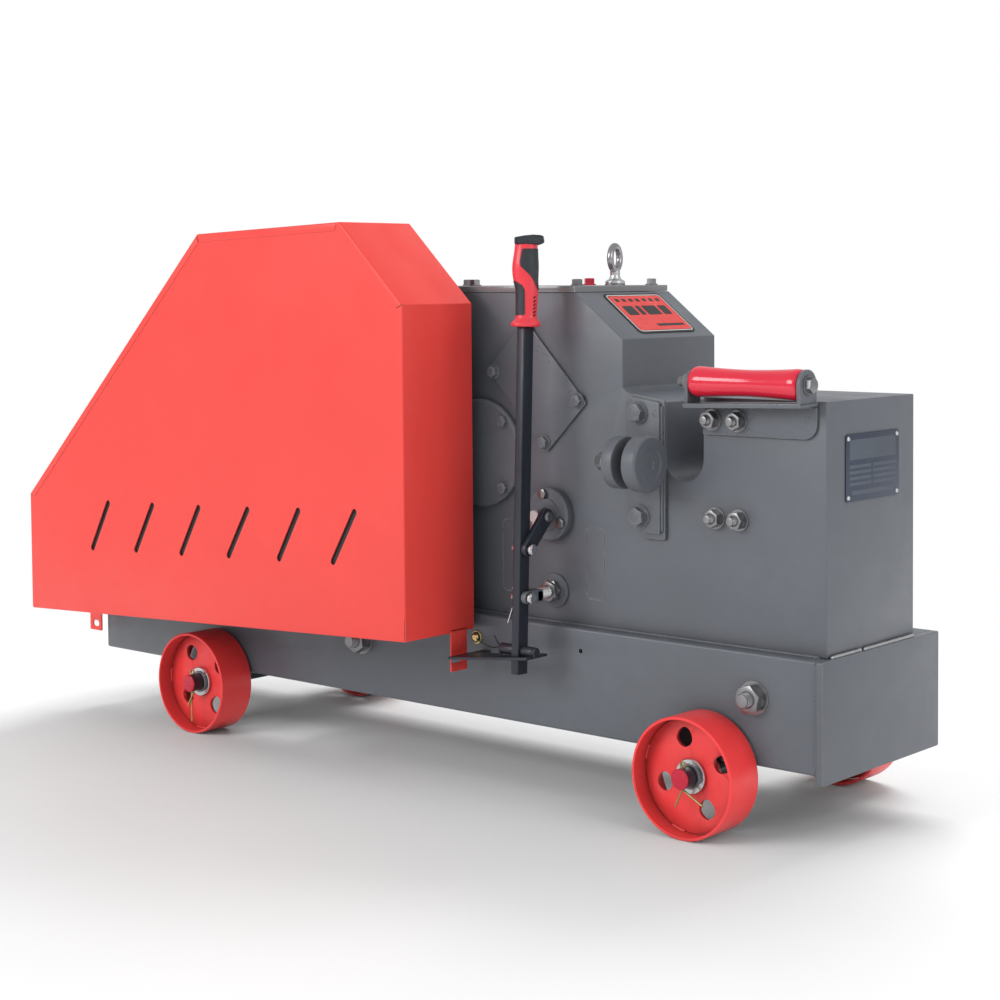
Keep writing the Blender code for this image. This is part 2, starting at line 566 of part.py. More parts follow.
# ---- bar stop ----
stop_plate = make(
    "stop_plate",
    prism([(330.2, 338.0), (354.0, 338.0), (354.0, 494.0), (310.5, 500.0), (303.8, 494.0), (303.8, 357.5)], BODY_Y0 - 9.8, BODY_Y0 - 3.0),
    GREY, smooth=False,
)
boolean(
    stop_plate, "UNION",
    prism([(326.0, 330.4), (358.4, 330.4), (358.4, 497.0), (311.5, 503.0), (302.0, 495.0), (302.0, 355.0)], BODY_Y0 - 5.0, BODY_Y0 - 0.3),
    box(318, 331, STOP[0] + 20, BODY_Y0 - 6, STOP[1] - 20, STOP[1] + 20),
    rod(STOP, 316.6, 332.6, 31, "X", 28),
)
boolean(stop_plate, "DIFFERENCE", rod(STOP, 300, 340, 10.9, "X", 18))
make("stop_screw", lathe([(0, 290.6), (9.3, 290.6), (10.5, 292.2), (10.5, 347.4), (0, 347.4)], STOP, "X", 18), STEEL, (340, *STOP))
make(
    "stop_disc",
    lathe([(0, 347.7), (31.8, 347.7), (33.3, 349.2), (33.3, 367.1), (31.8, 368.6), (0, 368.6)], STOP, "X", 28), GREY, (340, *STOP),
)
make("stop_lock_nut", prism(hexagon(*STOP, 30), 303.6, 316.2, "X", holes=[circle(*STOP, 10.9, 18)]), STEEL, smooth=False)

# ---- guide roller ----
EAR_Z = ROLLER[1]
strap = make(
    "roller_bracket",
    prism([(414, 459.5), (546.8, 459.5)] + arc(546.8, 483.5, 24, -80, 0, 5) + [(570.8, 500), (414, 495)], BODY_Y0 - 4.4, BODY_Y0 - 0.4),
    GREY, smooth=False,
)


def ear(x0, x1, base, radius, y0, y1):
    return prism(
        [(y0, base), (y1, base)] + arc(ROLLER[0], EAR_Z, radius, 0, 180, 10), x0, x1, "X",
        holes=[circle(ROLLER[0], EAR_Z, 6.4, 14)],
    )


boolean(
    strap, "UNION",
    prism([(409.6, 491.6), (571, 497), (571, 502.3), (409.6, 496.9)], -146.5, -109.4),
    ear(409.6, 414.2, 493.5, 13.0, -143, -117),
    ear(566.4, 571, 499.0, 17.5, -146.5, -112.5),
)
make(
    "roller_axle_bolt",
    lathe([(0, 393), (4.6, 393), (6, 394.6), (6, 571.3), (8.6, 571.3), (9.6, 572.4), (9.6, 577.8), (8.4, 578.8), (0, 578.8)], (ROLLER[0], EAR_Z), "X", 14),
    STEEL,
)
make(
    "guide_roller",
    lathe(
        [(6.5, 415.5), (14, 415.5), (17.6, 418.5), (17.9, 423.3)]
        + [(15.2 + 2.7 * abs((x - 490.4) / 67.1) ** 1.7, x) for x in (446, 468, 490.4, 512.8, 534.8)]
        + [(17.9, 557.5), (17.6, 562.3), (14, 565.3), (6.5, 565.3)],
        (ROLLER[0], EAR_Z), "X", 20, closed=True,
    ),
    RED_GLOSS, (490.4, ROLLER[0], EAR_Z),
)

# ---- belt drive ----
def pulley(outer, centre, y0, y1, bore, hub, hub_y0, hub_y1, web, n):
    """Grooved rim on a web and hub, spun as one section."""
    groove = 9.0
    profile = [(bore, hub_y0), (hub, hub_y0), (hub, web[0]), (outer - 24, web[0]), (outer - 24, y0), (outer + 4, y0)]
    for y in sorted(BELT_Y):
        profile += [(outer + 4, y - 7.6), (outer - groove, y - 4.8), (outer - groove, y + 4.8), (outer + 4, y + 7.6)]
    profile += [(outer + 4, y1), (outer - 24, y1), (outer - 24, web[1]), (hub, web[1]), (hub, hub_y1), (bore, hub_y1)]
    return lathe(profile, centre, "Y", n, closed=True)


make(
    "flywheel", pulley(FLYWHEEL_R, INPUT, -203, -150, 18.25, 36, -212, -142, (-188, -170), 24), IRON, (INPUT[0], 0, INPUT[1]),
)
make(
    "motor_pulley",
    lathe(
        [(14.3, -200), (MOTOR_PULLEY_R + 4, -200)]
        + [p for y in sorted(BELT_Y) for p in ((MOTOR_PULLEY_R + 4, y - 7.6), (MOTOR_PULLEY_R - 9, y - 4.8), (MOTOR_PULLEY_R - 9, y + 4.8), (MOTOR_PULLEY_R + 4, y + 7.6))]
        + [(MOTOR_PULLEY_R + 4, -150), (14.3, -150)],
        MOTOR, "Y", 20, closed=True,
    ),
    IRON, (MOTOR[0], 0, MOTOR[1]),
)


def belt_loop(r_big, r_small):
    """Closed path round the two pulleys at the given radii."""
    dx, dz = INPUT[0] - MOTOR[0], INPUT[1] - MOTOR[1]
    turn = math.degrees(math.atan2(dz, dx))
    lean_deg = math.degrees(math.asin((r_big - r_small) / math.hypot(dx, dz)))
    return (
        arc(*INPUT, r_big, turn - 90 - lean_deg, turn + 90 + lean_deg, 22)
        + arc(*MOTOR, r_small, turn + 90 + lean_deg, turn + 270 - lean_deg, 10)
    )


def belt(y):
    """V section swept round the loop by bridging four rings of points."""
    bm = bmesh.new()
    rings = []
    for dr, dy in ((0.5, -BELT_HALF_TOP), (0.5, BELT_HALF_TOP), (-BELT_DEPTH + 0.5, BELT_HALF_BOTTOM), (-BELT_DEPTH + 0.5, -BELT_HALF_BOTTOM)):
        rings.append([bm.verts.new(spot("Y", a, b, y + dy)) for a, b in belt_loop(FLYWHEEL_R + 2 + dr, MOTOR_PULLEY_R + 2 + dr)])
    n = len(rings[0])
    for k in range(4):
        here, there = rings[k], rings[(k + 1) % 4]
        for i in range(n):
            bm.faces.new((here[i], here[(i + 1) % n], there[(i + 1) % n], there[i]))
    bmesh.ops.recalc_face_normals(bm, faces=bm.faces[:])
    return bm


make("v_belt_inner", belt(BELT_Y[0]), BELT)
make("v_belt_outer", belt(BELT_Y[1]), BELT)

# ---- motor ----
FINS = 24
fin_outline = []
for k in range(FINS):
    for step, r in ((-0.30, 84.0), (-0.16, 95.0), (0.16, 95.0), (0.30, 84.0)):
        a = 2 * math.pi * (k + step) / FINS
        fin_outline.append((MOTOR[0] + r * math.cos(a), MOTOR[1] + r * math.sin(a)))
stator = make(
    "motor_stator_frame",
    prism(fin_outline, -78, 96, holes=[circle(*MOTOR, 64, 28)]), MOTOR_PAINT, smooth=False,
)
boolean(
    stator, "UNION",
    prism([(MOTOR[0] - 82, 229), (MOTOR[0] - 34, 229), (MOTOR[0] - 44, 262), (MOTOR[0] - 66, 272)], -66, 84),
    prism([(MOTOR[0] + 82, 229), (MOTOR[0] + 34, 229), (MOTOR[0] + 44, 262), (MOTOR[0] + 66, 272)], -66, 84),
)
boolean(stator, "DIFFERENCE", rod(MOTOR, -90, 110, 64, n=28))
make(
    "motor_end_shield",
    lathe([(14.4, -104), (30, -104), (36, -98), (78, -90), (92, -84), (92, -78.3), (62, -78.3), (58, -84), (14.4, -92)], MOTOR, "Y", 20, closed=True),
    MOTOR_PAINT,
)
cowl = make(
    "motor_fan_cowl",
    lathe([(0, 182), (64, 182), (88, 170), (92, 160), (92, 96.3), (89.5, 96.3), (89.5, 159), (86, 168), (63, 179.5), (0, 179.5)], MOTOR, "Y", 16),
    MOTOR_PAINT,
)
boolean(cowl, "DIFFERENCE", *[
    prism([(MOTOR[0] + s * 10, z - 2.6), (MOTOR[0] + s * w, z - 2.6), (MOTOR[0] + s * w, z + 2.6), (MOTOR[0] + s * 10, z + 2.6)], 172, 190)
    for s in (-1, 1) for z, w in ((MOTOR[1] - 40, 38), (MOTOR[1] - 20, 50), (MOTOR[1], 55), (MOTOR[1] + 20, 50), (MOTOR[1] + 40, 38))
])
box_outline = rounded(MOTOR[0] - 45, -38, MOTOR[0] + 45, 52, 10, 3)
make("motor_terminal_box", prism(box_outline, MOTOR[1] + 95.4, MOTOR[1] + 133, "Z"), MOTOR_PAINT, smooth=False)
make(
    "motor_base",
    prism([(MOTOR[0] - 96, -82), (MOTOR[0] + 96, -82), (MOTOR[0] + 96, 100), (MOTOR[0] - 96, 100)], 214.6, 228.7, "Z",
          holes=[rounded(MOTOR[0] - 24, -60, MOTOR[0] + 24, 78, 8, 2)]),
    GREY, smooth=False,
)
make(
    "motor_rotor",
    lathe([(0, -206), (12, -206), (14, -204), (14, -60), (60, -58), (60, 70), (14, 72), (14, 150), (12, 152), (0, 152)], MOTOR, "Y", 18),
    STEEL, (MOTOR[0], 0, MOTOR[1]),
)
fan = make(
    "motor_fan",
    lathe([(14.3, 110), (26, 110), (26, 124), (74, 128), (74, 131), (14.3, 131)], MOTOR, "Y", 18, closed=True),
    BLACK, (MOTOR[0], 0, MOTOR[1]),
)
blades = bmesh.new()
for k in range(6):
    a = math.radians(60 * k)
    c, s = math.cos(a), math.sin(a)
    prism([(MOTOR[0] + x * c - z * s, MOTOR[1] + x * s + z * c) for x, z in ((24, -1.2), (74, -1.2), (74, 1.2), (24, 1.2))], 130, 150, bm=blades)
boolean(fan, "UNION", blades)

# ---- belt guard ----
guard = [(-696.9, 163.0), (74.0, 198.0), (74.0, 611.0), (-34.0, 713.5), (-309.0, 703.5), (-696.9, 331.8)]


def shrunk(points, by):
    """The outline moved in by a constant distance."""
    out = []
    n = len(points)
    for i in range(n):
        p, q, r = (Vector(points[j % n]) for j in (i - 1, i, i + 1))
        a, b = (q - p).normalized(), (r - q).normalized()
        na, nb = Vector((-a.y, a.x)), Vector((-b.y, b.x))
        mid = (na + nb).normalized()
        out.append(tuple(q + mid * (by / mid.dot(na))))
    return out


cover = make("belt_guard", prism(guard, COVER_Y0, COVER_Y1, holes=[shrunk(guard, 14)]), RED, smooth=False)
boolean(cover, "UNION", prism(shrunk(guard, 1.0), COVER_Y0, COVER_Y0 + COVER_SHEET + 1))
boolean(cover, "DIFFERENCE", prism(shrunk(guard, COVER_SHEET), COVER_Y0 + COVER_SHEET, COVER_Y1 - COVER_SHEET))
SLOTS = [(-511.5, -548.5, 329.5, 264.0), (-413.0, -450.0, 333.0, 269.0), (-314.5, -351.5, 336.5, 273.0),
         (-215.0, -253.5, 341.0, 278.0), (-116.5, -154.0, 346.5, 282.5), (-13.0, -52.5, 352.0, 287.0)]
slots = bmesh.new()
for x_top, x_low, z_top, z_low in SLOTS:
    prism(obround(x_low, z_low, x_top, z_top, 4.5, 4), COVER_Y0 - 5, COVER_Y0 + 8, bm=slots)
boolean(cover, "DIFFERENCE", slots)
boolean(
    cover, "UNION",
    prism([(-183, 149), (-154, 149), (-154, 202), (-183, 202)], 71.8, 74.0, "X"),
    prism([(-725.7, 111), (-697, 111), (-695, 166), (-725.7, 166)], COVER_Y1 - 2.0, COVER_Y1),
)
boolean(
    cover, "DIFFERENCE",
    prism([(-190, 160), (-166, 160), (-166, 168), (-190, 168)], 60, 80, "X"),
    rod((-711.3, 121.5), COVER_Y1 - 8, COVER_Y1 + 6, 5, n=14),
)

# ---- fittings ----
EYE_X, EYE_Y = 200.6, -9.0
make(
    "lifting_eye",
    lathe([(0, 632.8), (13, 632.8), (13, 637), (8, 640), (6.6, 646), (6.6, 653), (0, 653)], (EYE_X, EYE_Y), "Z", 18), STEEL, (EYE_X, EYE_Y, 632.8),
)
ring = bmesh.new()
RING_R, RING_WIRE, RING_Z = 15.0, 4.3, 666.8
ring_profile = [(RING_R + RING_WIRE * math.cos(math.radians(60 * k)), RING_WIRE * math.sin(math.radians(60 * k)) + EYE_X) for k in range(6)]
lathe(ring_profile, (EYE_Y, RING_Z), "X", 24, closed=True, bm=ring)
bmesh.ops.rotate(ring, cent=Vector((EYE_X, EYE_Y, RING_Z)) * MM, matrix=Matrix.Rotation(math.radians(16), 3, "Z"), verts=ring.verts[:])
boolean(bpy.data.objects["lifting_eye"], "UNION", ring)
slope = math.atan2(WALL_TOP - NOSE_Z, NOSE_X - CHAMFER_X)
sx, sz = math.cos(slope), -math.sin(slope)
nx, nz = math.sin(slope), math.cos(slope)


def on_slope(s, lift):
    return (CHAMFER_X + s * sx + lift * nx, WALL_TOP + s * sz + lift * nz)


make(
    "front_label",
    prism([on_slope(4.9, 0.4), on_slope(82.7, 0.4), on_slope(82.7, 1.6), on_slope(4.9, 1.6)], -63.5, 51), LABEL, smooth=False,
)
make("rating_plate", prism(rounded(-71.5, 386.7, 43.9, 463.7, 3, 2), BODY_X1 + 0.3, BODY_X1 + 1.5, "X"), PLATE, smooth=False)
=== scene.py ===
"""The looks of the rebar cutter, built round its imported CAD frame.

Lengths in the helper calls are millimetres in the machine frame: +X along the chassis towards the jaw,
-Y the operator's side, +Z up, X = 0 midway between the axles, Y = 0 on the chassis centreline, Z = 0 on
the ground. at() and spot() turn them into metres in the row frame, from where the CAD chassis stands."""

import json
import math

import bmesh
import bpy
import numpy as np
from mathutils import Matrix, Vector, noise

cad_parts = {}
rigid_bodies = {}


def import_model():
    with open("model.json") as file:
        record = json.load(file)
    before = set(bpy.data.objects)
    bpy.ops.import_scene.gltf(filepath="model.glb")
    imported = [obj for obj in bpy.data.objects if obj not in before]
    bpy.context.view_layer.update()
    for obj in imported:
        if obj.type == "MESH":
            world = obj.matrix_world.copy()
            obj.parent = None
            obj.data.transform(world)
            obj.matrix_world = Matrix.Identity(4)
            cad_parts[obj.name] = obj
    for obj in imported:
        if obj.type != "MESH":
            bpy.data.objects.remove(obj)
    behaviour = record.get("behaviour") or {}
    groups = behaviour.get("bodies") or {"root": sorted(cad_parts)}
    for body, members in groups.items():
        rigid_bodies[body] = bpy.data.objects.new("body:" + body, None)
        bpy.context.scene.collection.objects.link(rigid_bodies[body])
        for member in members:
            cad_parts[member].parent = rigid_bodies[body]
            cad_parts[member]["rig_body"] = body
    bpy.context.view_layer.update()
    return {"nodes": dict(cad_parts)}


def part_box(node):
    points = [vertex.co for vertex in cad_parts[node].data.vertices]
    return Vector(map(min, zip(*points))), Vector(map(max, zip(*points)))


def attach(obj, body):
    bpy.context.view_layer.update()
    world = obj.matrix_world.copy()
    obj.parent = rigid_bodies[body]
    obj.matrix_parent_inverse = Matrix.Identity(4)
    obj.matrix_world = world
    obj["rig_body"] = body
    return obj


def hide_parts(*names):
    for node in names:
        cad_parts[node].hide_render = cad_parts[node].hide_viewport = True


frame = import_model()

MM = 0.001
rail_lo, rail_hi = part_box("chassis_frame")
OX = rail_lo.x / MM + 699.9
OY = (rail_lo.y + rail_hi.y) / 2 / MM

BODY_Y0, BODY_Y1 = -108.6, 80.0
BODY_X0, BODY_X1 = -262.0, 581.7
BODY_Z0, JAW_Z, WALL_TOP, BODY_TOP = 214.6, 502.6, 624.2, 632.5
NOSE_X, NOSE_Z, CHAMFER_X, LID_X1 = 291.7, 567.8, 218.6, 216.5
LEDGE_Z = 494.5
THROAT_X0, THROAT_X1, THROAT_Z = 354.4, 411.4, 430.6
CRANK = (63.6, 420.0)
INTER = (CRANK[0] + 150 * math.cos(math.radians(200)), CRANK[1] + 150 * math.sin(math.radians(200)))
INPUT = (INTER[0] + 114 * math.cos(math.radians(135)), INTER[1] + 114 * math.sin(math.radians(135)))
MOTOR = (-531.0, 326.0)
BELT_Y = (-163.0, -183.0)
AXLE_X, WHEEL_R, WHEEL_IN, WHEEL_OUT = 434.9, 71.1, 133.2, 186.2
LEVER = (184.0, -178.0, 188.6)
LEAN = math.radians(2.2)
SHIFT_ROD, PULL_ROD = (180.4, 349.7), (184.0, 254.0)
STOP = (-152.5, 424.5)
ROLLER = (-130.0, 521.8)


# ---------------------------------------------------------------- shapes
def at(x, y, z):
    return Vector((x + OX, y + OY, z)) * MM


def spot(axis, a, b, h):
    if axis == "X":
        return at(h, a, b)
    if axis == "Y":
        return at(a, h, b)
    return at(a, b, h)


def circle(cx, cy, r, n=48, start=0.0):
    return [(cx + r * math.cos(start + 2 * math.pi * k / n), cy + r * math.sin(start + 2 * math.pi * k / n)) for k in range(n)]


def arc(cx, cy, r, a0, a1, n):
    return [
        (cx + r * math.cos(math.radians(a0 + (a1 - a0) * k / n)), cy + r * math.sin(math.radians(a0 + (a1 - a0) * k / n)))
        for k in range(n + 1)
    ]


def obround(ax, ay, bx, by, r, n=16, r2=None):
    r2 = r if r2 is None else r2
    turn = math.degrees(math.atan2(by - ay, bx - ax))
    lean = math.degrees(math.asin((r - r2) / math.hypot(bx - ax, by - ay)))
    return arc(bx, by, r2, turn - 90 + lean, turn + 90 - lean, n) + arc(ax, ay, r, turn + 90 - lean, turn + 270 + lean, n)


def filleted(points, radius, n=5, closed=True):
    """The outline with each corner rounded. A point may carry its own radius as a third number."""
    out = []
    count = len(points)
    for i, p in enumerate(points):
        r = p[2] if len(p) > 2 else radius
        here = Vector(p[:2])
        if not closed and i in (0, count - 1) or r <= 0:
            out.append(tuple(here))
            continue
        before, after = Vector(points[i - 1][:2]) - here, Vector(points[(i + 1) % count][:2]) - here
        la, lb = before.length, after.length
        before.normalize()
        after.normalize()
        half = math.acos(max(-1.0, min(1.0, before.dot(after)))) / 2
        if half > math.radians(88):
            out.append(tuple(here))
            continue
        cut = min(r / math.tan(half), 0.48 * la, 0.48 * lb)
        r = cut * math.tan(half)
        centre = here + (before + after).normalized() * (r / math.sin(half))
        a, b = here + before * cut - centre, here + after * cut - centre
        turn = a.angle_signed(b)
        for k in range(n + 1):
            t = -turn * k / n
            out.append((centre.x + a.x * math.cos(t) - a.y * math.sin(t), centre.y + a.x * math.sin(t) + a.y * math.cos(t)))
    return out


def rounded(x0, y0, x1, y1, r, n=6):
    return filleted([(x0, y0), (x1, y0), (x1, y1), (x0, y1)], r, n)


def prism(points, lo, hi, axis="Y", holes=(), bm=None):
    bm = bm or bmesh.new()
    edges = []
    for loop in (points, *holes):
        verts = [bm.verts.new(spot(axis, p[0], p[1], lo)) for p in loop]
        edges += [bm.edges.new((verts[i - 1], verts[i])) for i in range(len(verts))]
    if holes:
        made = bmesh.ops.triangle_fill(bm, use_beauty=True, use_dissolve=False, edges=edges)
        faces = [g for g in made["geom"] if isinstance(g, bmesh.types.BMFace)]
    else:
        faces = bmesh.ops.contextual_create(bm, geom=edges)["faces"]
    grown = bmesh.ops.extrude_face_region(bm, geom=faces)
    top = [g for g in grown["geom"] if isinstance(g, bmesh.types.BMVert)]
    bmesh.ops.translate(bm, verts=top, vec=spot(axis, 0, 0, hi) - spot(axis, 0, 0, lo))
    bmesh.ops.recalc_face_normals(bm, faces=bm.faces[:])
    return bm


def box(x0, x1, y0, y1, z0, z1, bm=None):
    return prism([(x0, z0), (x1, z0), (x1, z1), (x0, z1)], y0, y1, bm=bm)


def lathe(profile, centre, axis="Y", n=64, closed=False, soft=0.0, bm=None):
    """Spins (radius, height) points round an axis, with the profile's corners rounded by soft."""
    if soft:
        profile = filleted(profile, soft, 3, closed)
    bm = bm or bmesh.new()
    a, b = centre
    rings = []
    for r, h in [p[:2] for p in profile]:
        if r < 1e-6:
            rings.append([bm.verts.new(spot(axis, a, b, h))])
        else:
            rings.append([bm.verts.new(spot(axis, p[0], p[1], h)) for p in circle(a, b, r, n)])
    pairs = list(zip(rings, rings[1:])) + ([(rings[-1], rings[0])] if closed else [])
    for low, high in pairs:
        for i in range(n):
            j = (i + 1) % n
            if len(low) == 1 and len(high) == 1:
                break
            if len(low) == 1:
                bm.faces.new((low[0], high[j], high[i]))
            elif len(high) == 1:
                bm.faces.new((low[i], low[j], high[0]))
            else:
                bm.faces.new((low[i], low[j], high[j], high[i]))
    if not closed:
        for ring in (rings[0], rings[-1]):
            if len(ring) > 1:
                bm.faces.new(ring)
    bmesh.ops.recalc_face_normals(bm, faces=bm.faces[:])
    return bm


def rod(centre, lo, hi, r, axis="Y", n=48, soft=0.0):
    return lathe([(0, lo), (r, lo), (r, hi), (0, hi)], centre, axis, n, soft=soft)


def stack(rings, closed=False, bm=None):
    """Rings of points, in metres, skinned one to the next."""
    bm = bm or bmesh.new()
    made = [[bm.verts.new(p) for p in ring] for ring in rings]
    n = len(rings[0])
    for low, high in list(zip(made, made[1:])) + ([(made[-1], made[0])] if closed else []):
        for i in range(n):
            bm.faces.new((low[i], low[(i + 1) % n], high[(i + 1) % n], high[i]))
    if not closed:
        bm.faces.new(made[0][::-1])
        bm.faces.new(made[-1])
    bmesh.ops.recalc_face_normals(bm, faces=bm.faces[:])
    return bm


def absorb(bm, other, matrix=None):
    if matrix is not None:
        bmesh.ops.transform(other, matrix=matrix, verts=other.verts[:])
    mesh = bpy.data.meshes.new("joining")
    other.to_mesh(mesh)
    other.free()
    bm.from_mesh(mesh)
    bpy.data.meshes.remove(mesh)
    return bm


def path_through(points, per=8):
    """A Catmull-Rom curve through (x, y, z) points."""
    pts = [Vector(p) for p in points]
    out = []
    for i in range(len(pts) - 1):
        p0, p1, p2, p3 = pts[max(i - 1, 0)], pts[i], pts[i + 1], pts[min(i + 2, len(pts) - 1)]
        for k in range(per):
            t = k / per
            out.append(
                0.5 * ((2 * p1) + (p2 - p0) * t + (2 * p0 - 5 * p1 + 4 * p2 - p3) * t * t + (3 * p1 - p0 - 3 * p2 + p3) * t ** 3)
            )
    out.append(pts[-1])
    return out


def sweep(path, radius, n=12, bm=None, flat=1.0, turn=0.0):
    """A round section carried along a path in machine millimetres. radius is a number or a function of the index."""
    path = [Vector(p) for p in path]
    rings = []
    normal = None
    for i, p in enumerate(path):
        ahead = (path[min(i + 1, len(path) - 1)] - path[max(i - 1, 0)]).normalized()
        if normal is None:
            normal = ahead.orthogonal().normalized()
        normal = (normal - ahead * normal.dot(ahead)).normalized()
        side = ahead.cross(normal)
        r = radius(i) if callable(radius) else radius
        rings.append([
            at(*(p + normal * (r * math.cos(turn + 2 * math.pi * k / n)) + side * (flat * r * math.sin(turn + 2 * math.pi * k / n))))
            for k in range(n)
        ])
    return stack(rings, bm=bm)


def bead(points, r=2.2, bm=None, seed=0, ripple=5.0):
    """A weld bead along straight runs between (x, y, z) points, rippled like a run of puddles."""
    pts = [Vector(p) for p in points]
    path = []
    for a, b in zip(pts, pts[1:]):
        steps = max(2, int((b - a).length / 1.25))
        path += [a.lerp(b, k / steps) for k in range(steps)]
    path.append(pts[-1])
    far = [0.0]
    for a, b in zip(path, path[1:]):
        far.append(far[-1] + (b - a).length)

    def size(i):
        ends = min(1.0, (far[i] + 0.8) / (r * 1.2), (far[-1] - far[i] + 0.8) / (r * 1.2))
        wave = 0.86 + 0.2 * abs(math.sin(math.pi * far[i] / ripple))
        rough = 1 + 0.16 * noise.noise(Vector((far[i] * 0.16, seed * 3.7, 0.3)))
        return r * ends * wave * rough

    return sweep(path, size, 10, bm)


def facing(pos, direction, spin=0.0):
    """Places a shape built round the origin, its +Z along direction."""
    return Matrix.Translation(at(*pos)) @ Vector(direction).to_track_quat("Z", "Y").to_matrix().to_4x4() @ Matrix.Rotation(spin, 4, "Z")


def local_ring(radius, height, n=48):
    rings = []
    for k in range(n):
        t = 2 * math.pi * k / n
        r = radius(t) if callable(radius) else radius
        h = height(t) if callable(height) else height
        rings.append(Vector((r * math.cos(t), r * math.sin(t), h)) * MM)
    return rings


def hexagon_body(flats, height, base=0.0, both=False, bore=0.0, n=48):
    half, top = flats / 2, flats / 2 * 0.95
    drop = math.tan(math.radians(28))

    def corner(t):
        return half / math.cos((t % (math.pi / 3)) - math.pi / 6)

    rings = []
    if both:
        rings += [local_ring(top, base, n), local_ring(corner, lambda t: base + (corner(t) - top) * drop, n)]
    else:
        rings += [local_ring(corner, base, n)]
    rings += [local_ring(corner, lambda t: base + height - (corner(t) - top) * drop, n), local_ring(top, base + height, n)]
    if bore:
        rings += [local_ring(bore + 0.8, base + height, n), local_ring(bore, base + height - 0.8, n), local_ring(bore, base + 0.8, n), local_ring(bore + 0.8, base, n)]
        return stack(rings, closed=True)
    return stack(rings)


def disc_body(outer, inner, base, thick, n=48, soft=0.35):
    s = min(soft, thick / 2.5)
    rings = [local_ring(r, h, n) for r, h in (
        (inner, base), (outer - s, base), (outer, base + s), (outer, base + thick - s), (outer - s, base + thick), (inner, base + thick))]
    return stack(rings, closed=True)


def stud_body(r, base, length, pitch=1.5, n=32):
    rings, h, k = [local_ring(r * 0.9, base, n)], base, 0
    while h < base + length - pitch:
        rings.append(local_ring(r * (0.88 if k % 2 else 1.0), h + pitch * 0.25, n))
        h += pitch / 2
        k += 1
    rings += [local_ring(r * 0.86, base + length - 0.3, n), local_ring(r * 0.7, base + length, n)]
    return stack(rings)


def fastener(bm, pos, direction, flats, head, washer=0.0, spring=False, stud=0.0, spin=0.0, nut=False):
    """A hex bolt head or a nut on its stud, with its washers, standing on pos."""
    place = facing(pos, direction, spin)
    base = 0.0
    if washer:
        absorb(bm, disc_body(washer, flats * 0.3, 0.0, 1.6), place)
        base += 1.6
    if spring:
        absorb(bm, disc_body(flats * 0.5, flats * 0.3, base, 1.9), place)
        base += 1.9
    if nut or stud:
        absorb(bm, hexagon_body(flats, head, base, both=True, bore=flats * 0.3), place)
        absorb(bm, stud_body(flats * 0.295, base + 0.4, head + stud), place)
    else:
        absorb(bm, hexagon_body(flats, head, base), place)
        absorb(bm, disc_body(flats * 0.40, flats * 0.33, base + head - 0.05, 0.25, soft=0.1), place)
    return bm


def cap_screw(bm, pos, direction, r, head, spin=0.0):
    """A socket head cap screw."""
    place = facing(pos, direction, spin)
    six = lambda t: r * 0.5 / math.cos((t % (math.pi / 3)) - math.pi / 6)
    absorb(bm, stack([
        local_ring(r * 0.9, 0), local_ring(r, 0.4), local_ring(r, head - 0.8), local_ring(r - 0.8, head), local_ring(r * 0.66, head),
        local_ring(six, head - 0.4), local_ring(six, head * 0.45)]), place)
    return bm


# ---------------------------------------------------------------- pieces
def cutter(bm):
    mesh = bpy.data.meshes.new("cutter")
    bm.to_mesh(mesh)
    bm.free()
    obj = bpy.data.objects.new("cutter", mesh)
    bpy.context.scene.collection.objects.link(obj)
    obj.hide_render = True
    return obj


def shade(mesh, angle):
    mesh.shade_smooth()
    mesh.set_sharp_from_angle(angle=math.radians(angle))


def piece(name, bm, mat, like=None, body=None, stands_for=None, bevel=0.0, segments=2, angle=35,
          cuts=(), joins=(), keeps=(), bevel_last=False, smooth=38):
    """Makes the mesh an object in the row frame, cut and rounded, riding on the body of the CAD node it is like."""
    mesh = bpy.data.meshes.new(name)
    bm.to_mesh(mesh)
    bm.free()
    obj = bpy.data.objects.new(name, mesh)
    bpy.context.scene.collection.objects.link(obj)
    helpers = []

    def round_edges():
        if bevel:
            modifier = obj.modifiers.new("edges", "BEVEL")
            modifier.width = bevel * MM
            modifier.segments = segments
            modifier.limit_method = "ANGLE"
            modifier.angle_limit = math.radians(angle)
            modifier.use_clamp_overlap = False
            modifier.miter_outer = "MITER_ARC"

    if not bevel_last:
        round_edges()
    for operation, shapes in (("UNION", joins), ("DIFFERENCE", cuts), ("INTERSECT", keeps)):
        for shape in shapes:
            modifier = obj.modifiers.new(operation.lower(), "BOOLEAN")
            modifier.operation = operation
            modifier.solver = "EXACT"
            modifier.object = cutter(shape)
            helpers.append(modifier.object)
    if bevel_last:
        round_edges()
    if obj.modifiers:
        bpy.context.view_layer.update()
        baked = bpy.data.meshes.new_from_object(obj.evaluated_get(bpy.context.evaluated_depsgraph_get()))
        obj.modifiers.clear()
        obj.data = baked
        baked.name = name
        bpy.data.meshes.remove(mesh)
        for other in helpers:
            held = other.data
            bpy.data.objects.remove(other, do_unlink=True)
            bpy.data.meshes.remove(held)
    shade(obj.data, smooth)
    obj.data.materials.clear()
    obj.data.materials.append(mat)
    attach(obj, body or (frame["nodes"][like]["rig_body"] if like else "root"))
    if like and stands_for is None:
        stands_for = (like,)
    if stands_for:
        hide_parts(*stands_for)
    return obj


def refined(node, mat, bevel=0.5, angle=32):
    """A CAD node's own shape, welded into whole faces and given rounded edges."""
    bm = bmesh.new()
    bm.from_mesh(frame["nodes"][node].data)
    bmesh.ops.remove_doubles(bm, verts=bm.verts[:], dist=2e-6)
    bmesh.ops.dissolve_limit(bm, angle_limit=math.radians(0.6), verts=bm.verts[:], edges=bm.edges[:])
    bmesh.ops.recalc_face_normals(bm, faces=bm.faces[:])
    return piece(node + "_fine", bm, mat, like=node, bevel=bevel, segments=2, angle=angle, bevel_last=True)


